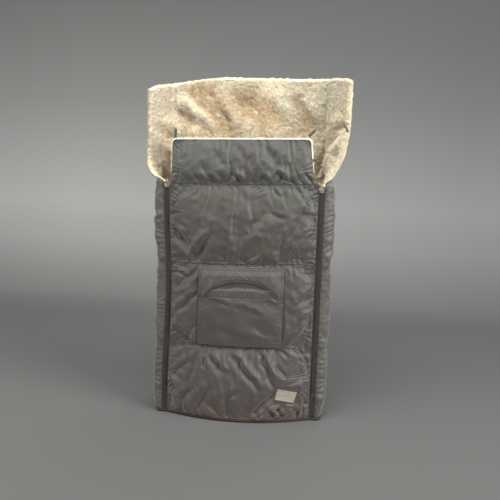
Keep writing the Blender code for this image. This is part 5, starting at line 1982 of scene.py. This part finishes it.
    def facing_top(self) -> float:
        """Height of the facing's upper edge."""
        return self.shop.form.middle_seam - self.margin

    def facing_offset(self, x: Array, z: Array) -> Array:
        """Inner offset of the facing, which rests on the panel above and on the hem below."""
        top = self.facing_top()
        settled = np.clip((top - z) / (top - self.mouth - self.hem) / self.facing_slope, 0, 1)
        cover = self.lift(x, z) + self.facing_over + 4 * SKIN
        return self.rest(x, z) + 4 * SKIN + cover * settled ** 0.5

    def build_facing(self, columns: Array) -> None:
        """The facing, with a rolled edge along its arch and the dents of its topstitching."""
        top = self.facing_top()
        x, share = lattice(columns, np.linspace(0, 1, self.facing_rows))
        low = self.arch(x)
        z = low + (top - low) * share
        near, side = z - low, self.half - np.abs(x)
        roll = self.roll_height * bell(near, 0.0028, 0.0036) - 0.0008 * bell(near, 0.0022, 0.0095)
        tucks = 0.0016 * waves(x, z, 0.045, 81) + 0.0026 * gathers(x, top - z, 0.014, 0.02, 82)
        tucks += 0.0022 * gathers(x, near - 0.008, 0.016, 0.018, 83)
        seam = sum(bell(away, self.line_width, line) for away in (side, top - z)
                   for line in (self.near_line, self.far_line))
        tucks = np.maximum(tucks, -self.facing_deepest) * np.clip(side / self.facing_edge, 0, 1)
        thick = self.facing_thickness + roll + tucks - self.line_depth * np.clip(seam, 0, 1)
        # Painted shade in the dents of the topstitching.
        painted_shade_mask = np.clip(1.3 * seam, 0, 1)
        self.cloth("pocket_facing_cloth", x, z, self.facing_offset(x, z), thick, "pocket_facing", painted_shade_mask)

    def build_stitches(self) -> None:
        """Double topstitching round the facing, and one line over its arch."""
        lines = []
        for inset in (self.near_line, self.far_line):
            top = self.facing_top() - inset
            across = np.linspace(-self.half + inset, self.half - inset, 90)
            lines.append(self.stitch_line(across, np.full_like(across, top)))
            for sign in (-1, 1):
                edge = np.full(40, sign * (self.half - inset))
                lines.append(self.stitch_line(edge, np.linspace(self.arch(edge)[0] + self.stitch_foot, top, 40)))
        across = np.linspace(-self.half + self.stitch_ends, self.half - self.stitch_ends, 90)
        lines.append(self.stitch_line(across, self.arch(across) + self.far_line))
        obj = run_tree(
            self.stitch_tree, line_carrier("facing_lines", lines), "pocket_stitches", self.shop.finishes["thread"],
            Pitch=0.0034, Length=0.0027, Thickness=0.0007)
        self.shop.keep(obj, "thread", "front_cover")

    def stitch_line(self, x: Array, z: Array) -> Surface:
        """Points and normals of a line of stitches on the facing."""
        points, normals = self.shop.form.panel(x, z)
        return points + normals * (self.facing_offset(x, z) + self.stitch_over)[:, None], normals


@dataclass
class Trim:
    """Label, ribbon loops, slot bindings, sole and piping."""

    shop: Workshop
    stitch_tree: bpy.types.NodeTree
    front: FrontQuilts
    label_size: tuple[float, float] = (0.053, 0.031)
    label_tilt: float = math.radians(-13.5)
    label_rest: float = 0.001
    label_hem: float = 0.002
    label_stitch_inset: float = 0.0022
    label_stitch_over: float = 0.0026
    loop_round: float = 0.0002
    binding_half: float = 0.0015
    sole_edge: float = 0.0015
    sole_round: float = 0.002
    piping_radius: float = 0.0014

    def build(self) -> None:
        """Make all the trim."""
        self.build_label()
        self.build_label_stitches()
        rise = self.shop.form.seam_tilt * self.shop.form.panel_half
        for node, body, shift in (
                ("left_flap_loop", "front_flap", (0, 0, -rise)),
                ("right_flap_loop", "front_flap", (0, 0, rise)),
                ("right_flap_side_loop", "front_flap", (0, 0, rise)),
                ("left_hood_loop", "headboard", (-0.010, 0.004, 0)),
                ("right_hood_loop", "headboard", (0.012, -0.004, 0))):
            self.build_loop(node, body, shift)
        for node in SLOTS:
            self.build_binding(node)
        self.build_sole()
        self.build_sole_fleece()
        self.build_piping()

    def on_label(self, u: Array, v: Array) -> tuple[Array, Array, Array]:
        """Points and normals under places on the tilted label, and the toe quilt's offset there."""
        form = self.shop.form
        low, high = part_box("woven_label")
        middle = (low + high) / 2
        x = middle.x + u * math.cos(self.label_tilt) - v * math.sin(self.label_tilt)
        z = middle.z + u * math.sin(self.label_tilt) + v * math.cos(self.label_tilt)
        return *form.front(x, z), self.front.face(x, z, form.foot, form.lower_seam)

    def build_label(self) -> None:
        """Blank woven label, a little askew, with its edges folded under."""
        across, up = lattice(np.linspace(-0.5, 0.5, 40), np.linspace(-0.5, 0.5, 26))
        width, height = self.label_size
        u, v = across * width, up * height
        points, normals, rest = self.on_label(u, v)
        base = rest + self.label_rest
        edge = np.minimum(width / 2 - np.abs(u), height / 2 - np.abs(v))
        thick = 0.0010 + 0.0005 * bell(edge, 0.0018, self.label_hem) + 0.0003 * waves(u, v, 0.02, 91)
        loft = np.clip(edge / self.label_hem, 0, 1)
        outer = points + normals * (base + thick)[..., None]
        inner = points + normals * base[..., None]
        obj = shell_between(
            "woven_label_cloth", outer, inner, np.stack([u, v], -1), self.shop.finishes["label"], loft, 3)
        self.shop.keep(subdivide(obj), "label", "sack", ("woven_label",))

    def build_label_stitches(self) -> None:
        """Stitches round the label."""
        half_width, half_height = (side / 2 - self.label_stitch_inset for side in self.label_size)
        corners = [(-1, -1), (1, -1), (1, 1), (-1, 1), (-1, -1)]
        places = [(a * half_width, b * half_height) for a, b in corners]
        share = np.linspace(0, 1, 14)
        lines = []
        for (u0, v0), (u1, v1) in zip(places, places[1:]):
            points, normals, rest = self.on_label(u0 + (u1 - u0) * share, v0 + (v1 - v0) * share)
            lines.append((points + normals * (rest + self.label_stitch_over)[:, None], normals))
        obj = run_tree(
            self.stitch_tree, line_carrier("label_lines", lines), "label_stitches",
            self.shop.finishes["label_thread"], Pitch=0.0030, Length=0.0022, Thickness=0.0005)
        self.shop.keep(obj, "label_thread", "sack")

    def build_loop(self, node: str, body: str, shift: tuple[float, float, float]) -> None:
        """A ribbon loop: the node's own form with softened edges, shifted with its seam."""
        mesh = bpy.data.objects[node].data.copy()
        with editing(mesh) as bm:
            bmesh.ops.remove_doubles(bm, verts=bm.verts, dist=TOUCH)
        obj = new_object(f"{node}_ribbon", mesh, self.shop.finishes["ribbon"])
        points = points_of(mesh)
        store(mesh, "loft", np.full(len(points), 0.8))
        lay_flat(mesh, points[:, [0, 2]])
        put_points(mesh, points + np.array(shift, np.float32))
        soften(obj, self.loop_round, math.radians(40))
        self.shop.keep(obj, "ribbon", body, (node,))

    def build_binding(self, node: str, around: int = 64, section: int = 10) -> None:
        """Bound edge of a harness slot: a rounded band that wraps the wall's cut."""
        low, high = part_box(node)
        half, reach = (high.x - low.x) / 2, (high.z - low.z) / 2
        middle = (low + high) / 2
        turns = np.linspace(0, math.tau, around, endpoint=False) + math.pi / around
        rings = []
        for step in range(section):
            angle = math.tau * step / section
            radius = half - self.binding_half + self.binding_half * math.cos(angle)
            x, z = stadium(middle, radius, reach - half, turns)
            y = middle.y + (high.y - low.y) / 2 * math.sin(angle)
            rings.append(np.stack([x, np.full_like(x, y), z], -1))
        self.shop.keep(self.tube(f"{node}_tape", rings, "ribbon", 0.02, 0.25), "ribbon", "sack", (node,))

    def tube(self, name: str, rings: Sequence[Array], finish: str, girth: float, length: float) -> bpy.types.Object:
        """A closed cord from its long outlines, with the cloth's size round it and along it."""
        grid = np.stack([*rings, rings[0]], 1)
        spread = np.stack(lattice(np.linspace(0, length, len(grid)), np.linspace(0, girth, len(rings) + 1))[::-1], -1)
        work = Patchwork()
        work.grid(grid, spread, round_=True)
        obj = work.build(name, self.shop.finishes[finish])
        with editing(obj.data) as bm:
            bmesh.ops.remove_doubles(bm, verts=bm.verts, dist=TOUCH)
            bmesh.ops.recalc_face_normals(bm, faces=bm.faces)
        return obj

    def foot_ring(self, offset: float, z: float, step: float = 0.006) -> Array:
        """Plan outline of the sack at its foot, offset outwards from the seam surface."""
        form = self.shop.form
        x = spaced([-form.panel_half, form.panel_half], step)
        along = spaced([-form.ring_half, form.ring_half], step)[::-1]
        sides = (form.front(x, np.full_like(x, form.foot)), form.ring(along, np.full_like(along, form.foot)))
        ring = np.concatenate([points + normals * offset for points, normals in sides])
        ring[:, 2] = z
        return ring

    def sole_top(self) -> float:
        """Height of the sole's upper face."""
        return self.shop.form.foot - 2 * SKIN

    def build_sole(self) -> None:
        """Black sole with a rounded edge."""
        edge, tuck = self.sole_edge, self.sole_round
        rings = [self.foot_ring(edge - tuck, 0)]
        for turn in np.linspace(0, math.pi / 2, 4):
            rings.append(self.foot_ring(edge - tuck + tuck * math.sin(turn), tuck - tuck * math.cos(turn)))
        rings.append(self.foot_ring(edge, self.sole_top()))
        self.capped("sole_cloth_panel", rings, "sole", ("sole_panel",))

    def build_sole_fleece(self) -> None:
        """The fleece on the sole, inside the walls' lining."""
        inset, foot = LINING_BACK - 2 * SKIN, self.shop.form.foot
        rings = [self.foot_ring(inset - less, foot + rise) for less, rise in ((0, 0), (0, 0.003), (0.002, 0.005))]
        self.capped("sole_fleece", rings, "fleece", ("sole_lining",))

    def build_piping(self, section: int = 8) -> None:
        """The cord round the sole's edge."""
        radius, rings = self.piping_radius, []
        for step in range(section):
            angle = math.tau * step / section
            out = self.sole_edge + 2 * SKIN + radius * (1 + math.cos(angle))
            rings.append(self.foot_ring(out, self.sole_top() - radius + radius * math.sin(angle), 0.004))
        self.shop.keep(self.tube("sole_piping_cord", rings, "sole", 0.012, 1.3), "sole", "sack", ("sole_piping",))

    def capped(self, name: str, rings: Sequence[Array], finish: str, nodes: Sequence[str]) -> None:
        """A flat piece from rings of its rim, closed by a face above and below."""
        work = Patchwork()
        grid = np.stack(rings, 1)
        index = work.grid(grid, grid[..., :2], round_=True)
        work.faces += [tuple(index[:, column].tolist()) for column in (0, -1)]
        obj = work.build(name, self.shop.finishes[finish], math.radians(40))
        self.shop.keep(obj, finish, "sack", nodes)


@dataclass(frozen=True)
class Lamp:
    """A square lamp that looks at the footmuff's middle."""

    name: str
    place: tuple[float, float, float]
    size: float
    power: float
    target: tuple[float, float, float] = (0, 0, 0.45)

    def build(self) -> None:
        """Hang it."""
        data = bpy.data.lights.new(self.name, "AREA")
        data.size = self.size
        data.energy = self.power
        lamp = linked(self.name, data)
        lamp.location = self.place
        lamp.visible_camera = False
        lamp.rotation_euler = (Vector(self.target) - Vector(self.place)).to_track_quat("-Z", "Y").to_euler()


@dataclass
class Studio:
    """Pale sweep, soft lights and the camera at the photo's angle."""

    turn: float = math.radians(4.2)
    tilt: float = math.radians(10.6)
    roll: float = math.radians(1.75)
    distance: float = 2.01
    target: tuple[float, float, float] = (0.0175, 0.0, 0.4636)
    sensor: float = 36
    focal: float = 731.5 / 500 * 36
    # Painted light: greys up the floor and backdrop, for the lamps' falloff on the sweep.
    paper: tuple[tuple[float, int], ...] = ((0, 99), (0.03, 117), (0.19, 144), (0.36, 156), (0.88, 127), (1.45, 103))
    painted_right_shade: Colour = srgb(70, 70, 69)
    painted_right_shade_share: float = 0.50
    world: float = 0.32
    floor_front: float = -3.0
    sweep_start: float = 0.9
    sweep_radius: float = 1.2
    sweep_top: float = 4.0
    lamps: tuple[Lamp, ...] = (
        Lamp("key", (-0.4, -1.5, 2.9), 1.6, 66.0), Lamp("left_fill", (-2.4, -1.5, 1.6), 1.8, 46.0),
        Lamp("right_fill", (2.4, -1.5, 1.6), 1.8, 126.0), Lamp("back_fill", (0.8, 1.8, 2.4), 1.6, 22.0))

    def build(self) -> None:
        """Set up the floor, the lights, the world and the camera."""
        self.build_sweep()
        self.build_lights()
        self.build_camera()
        bpy.context.scene.view_settings.view_transform = "Standard"

    def build_sweep(self) -> None:
        """Floor and backdrop in one curved sheet."""
        start, radius = self.sweep_start, self.sweep_radius
        profile = [(self.floor_front, 0.0), (start, 0.0)]
        for angle in np.linspace(0, math.pi / 2, 13)[1:]:
            profile.append((start + radius * math.sin(angle), radius - radius * math.cos(angle)))
        profile.append((start + radius, self.sweep_top))
        x, number = lattice(np.linspace(-4, 4, 3), np.arange(len(profile)))
        obj = open_sheet("studio_sweep", np.concatenate([x[..., None], np.array(profile)[number]], -1))
        obj.data.shade_smooth()
        obj.data.materials.append(self.build_paper())

    def build_paper(self) -> bpy.types.Material:
        """Grey paper with painted light: its grey brightens and fades up the backdrop, and painted shade darkens it to
        the right.
        """
        paper = bpy.data.materials.new("studio_paper")
        paper.use_nodes = True
        tree = Tree(paper.node_tree)
        shader = paper.node_tree.nodes["Principled BSDF"]
        shader.inputs["Roughness"].default_value = 0.9
        parts = tree.parts(tree.add("ShaderNodeTexCoord").outputs["Object"])
        top = self.paper[-1][0]
        tones = tree.add("ShaderNodeValToRGB", Fac=tree.ramp(parts["Z"], 0.0, top))
        stops = tones.color_ramp.elements
        for rise, _ in self.paper[1:-1]:
            stops.new(rise / top)
        for stop, (rise, grey) in zip(stops, self.paper):
            stop.position = rise / top
            stop.color = (*srgb(grey, grey, grey - 2), 1)
        painted_right_shade = tree.math("MULTIPLY", tree.ramp(parts["X"], -1.0, 1.0), self.painted_right_shade_share)
        tree.feed(shader.inputs["Base Color"], tree.mix(painted_right_shade, tones.outputs["Color"], (*self.painted_right_shade, 1)))
        return paper

    def build_lights(self) -> None:
        """A broad light above the front, one on each side, a weak one behind, and an even world."""
        for lamp in self.lamps:
            lamp.build()
        world = bpy.context.scene.world or bpy.data.worlds.new("studio")
        bpy.context.scene.world = world
        world.use_nodes = True
        background = world.node_tree.nodes["Background"]
        background.inputs["Color"].default_value = (1, 1, 1, 1)
        background.inputs["Strength"].default_value = self.world

    def build_camera(self) -> None:
        """Camera fitted to places measured in the photo."""
        back = Vector((
            math.sin(self.turn) * math.cos(self.tilt), -math.cos(self.turn) * math.cos(self.tilt),
            math.sin(self.tilt)))
        right = back.cross(Vector((0, 0, -1))).normalized()
        up = back.cross(right)
        leaned = right * math.cos(self.roll) + up * math.sin(self.roll)
        risen = up * math.cos(self.roll) - right * math.sin(self.roll)
        data = bpy.data.cameras.new("photo_camera")
        data.sensor_width = self.sensor
        data.lens = self.focal
        camera = linked("photo_camera", data)
        turned = Matrix((leaned, risen, back)).transposed()
        camera.matrix_world = Matrix.Translation(Vector(self.target) + back * self.distance) @ turned.to_4x4()
        bpy.context.scene.camera = camera


def main() -> None:
    """Dress the footmuff, piece by piece."""
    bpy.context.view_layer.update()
    form = Form.measure()
    shop = Workshop(form, Finishes())
    fronts, walls = FrontQuilts(shop), BodyQuilts(shop)
    front_quilts, wall_quilts = fronts.quilts(), walls.quilts()
    Wadding().fill(front_quilts + wall_quilts)
    fronts.build(front_quilts)
    walls.build(wall_quilts)
    Fleeces(shop, build_pile_tree()).build()
    coil_tree, stitch_tree = build_coil_tree(), build_stitch_tree()
    for hand in Hand:
        Zip(shop, coil_tree, hand).build()
    Pocket(shop, fronts, stitch_tree).build()
    Trim(shop, stitch_tree, fronts).build()
    Studio().build()


if __name__ == "__main__":
    main()
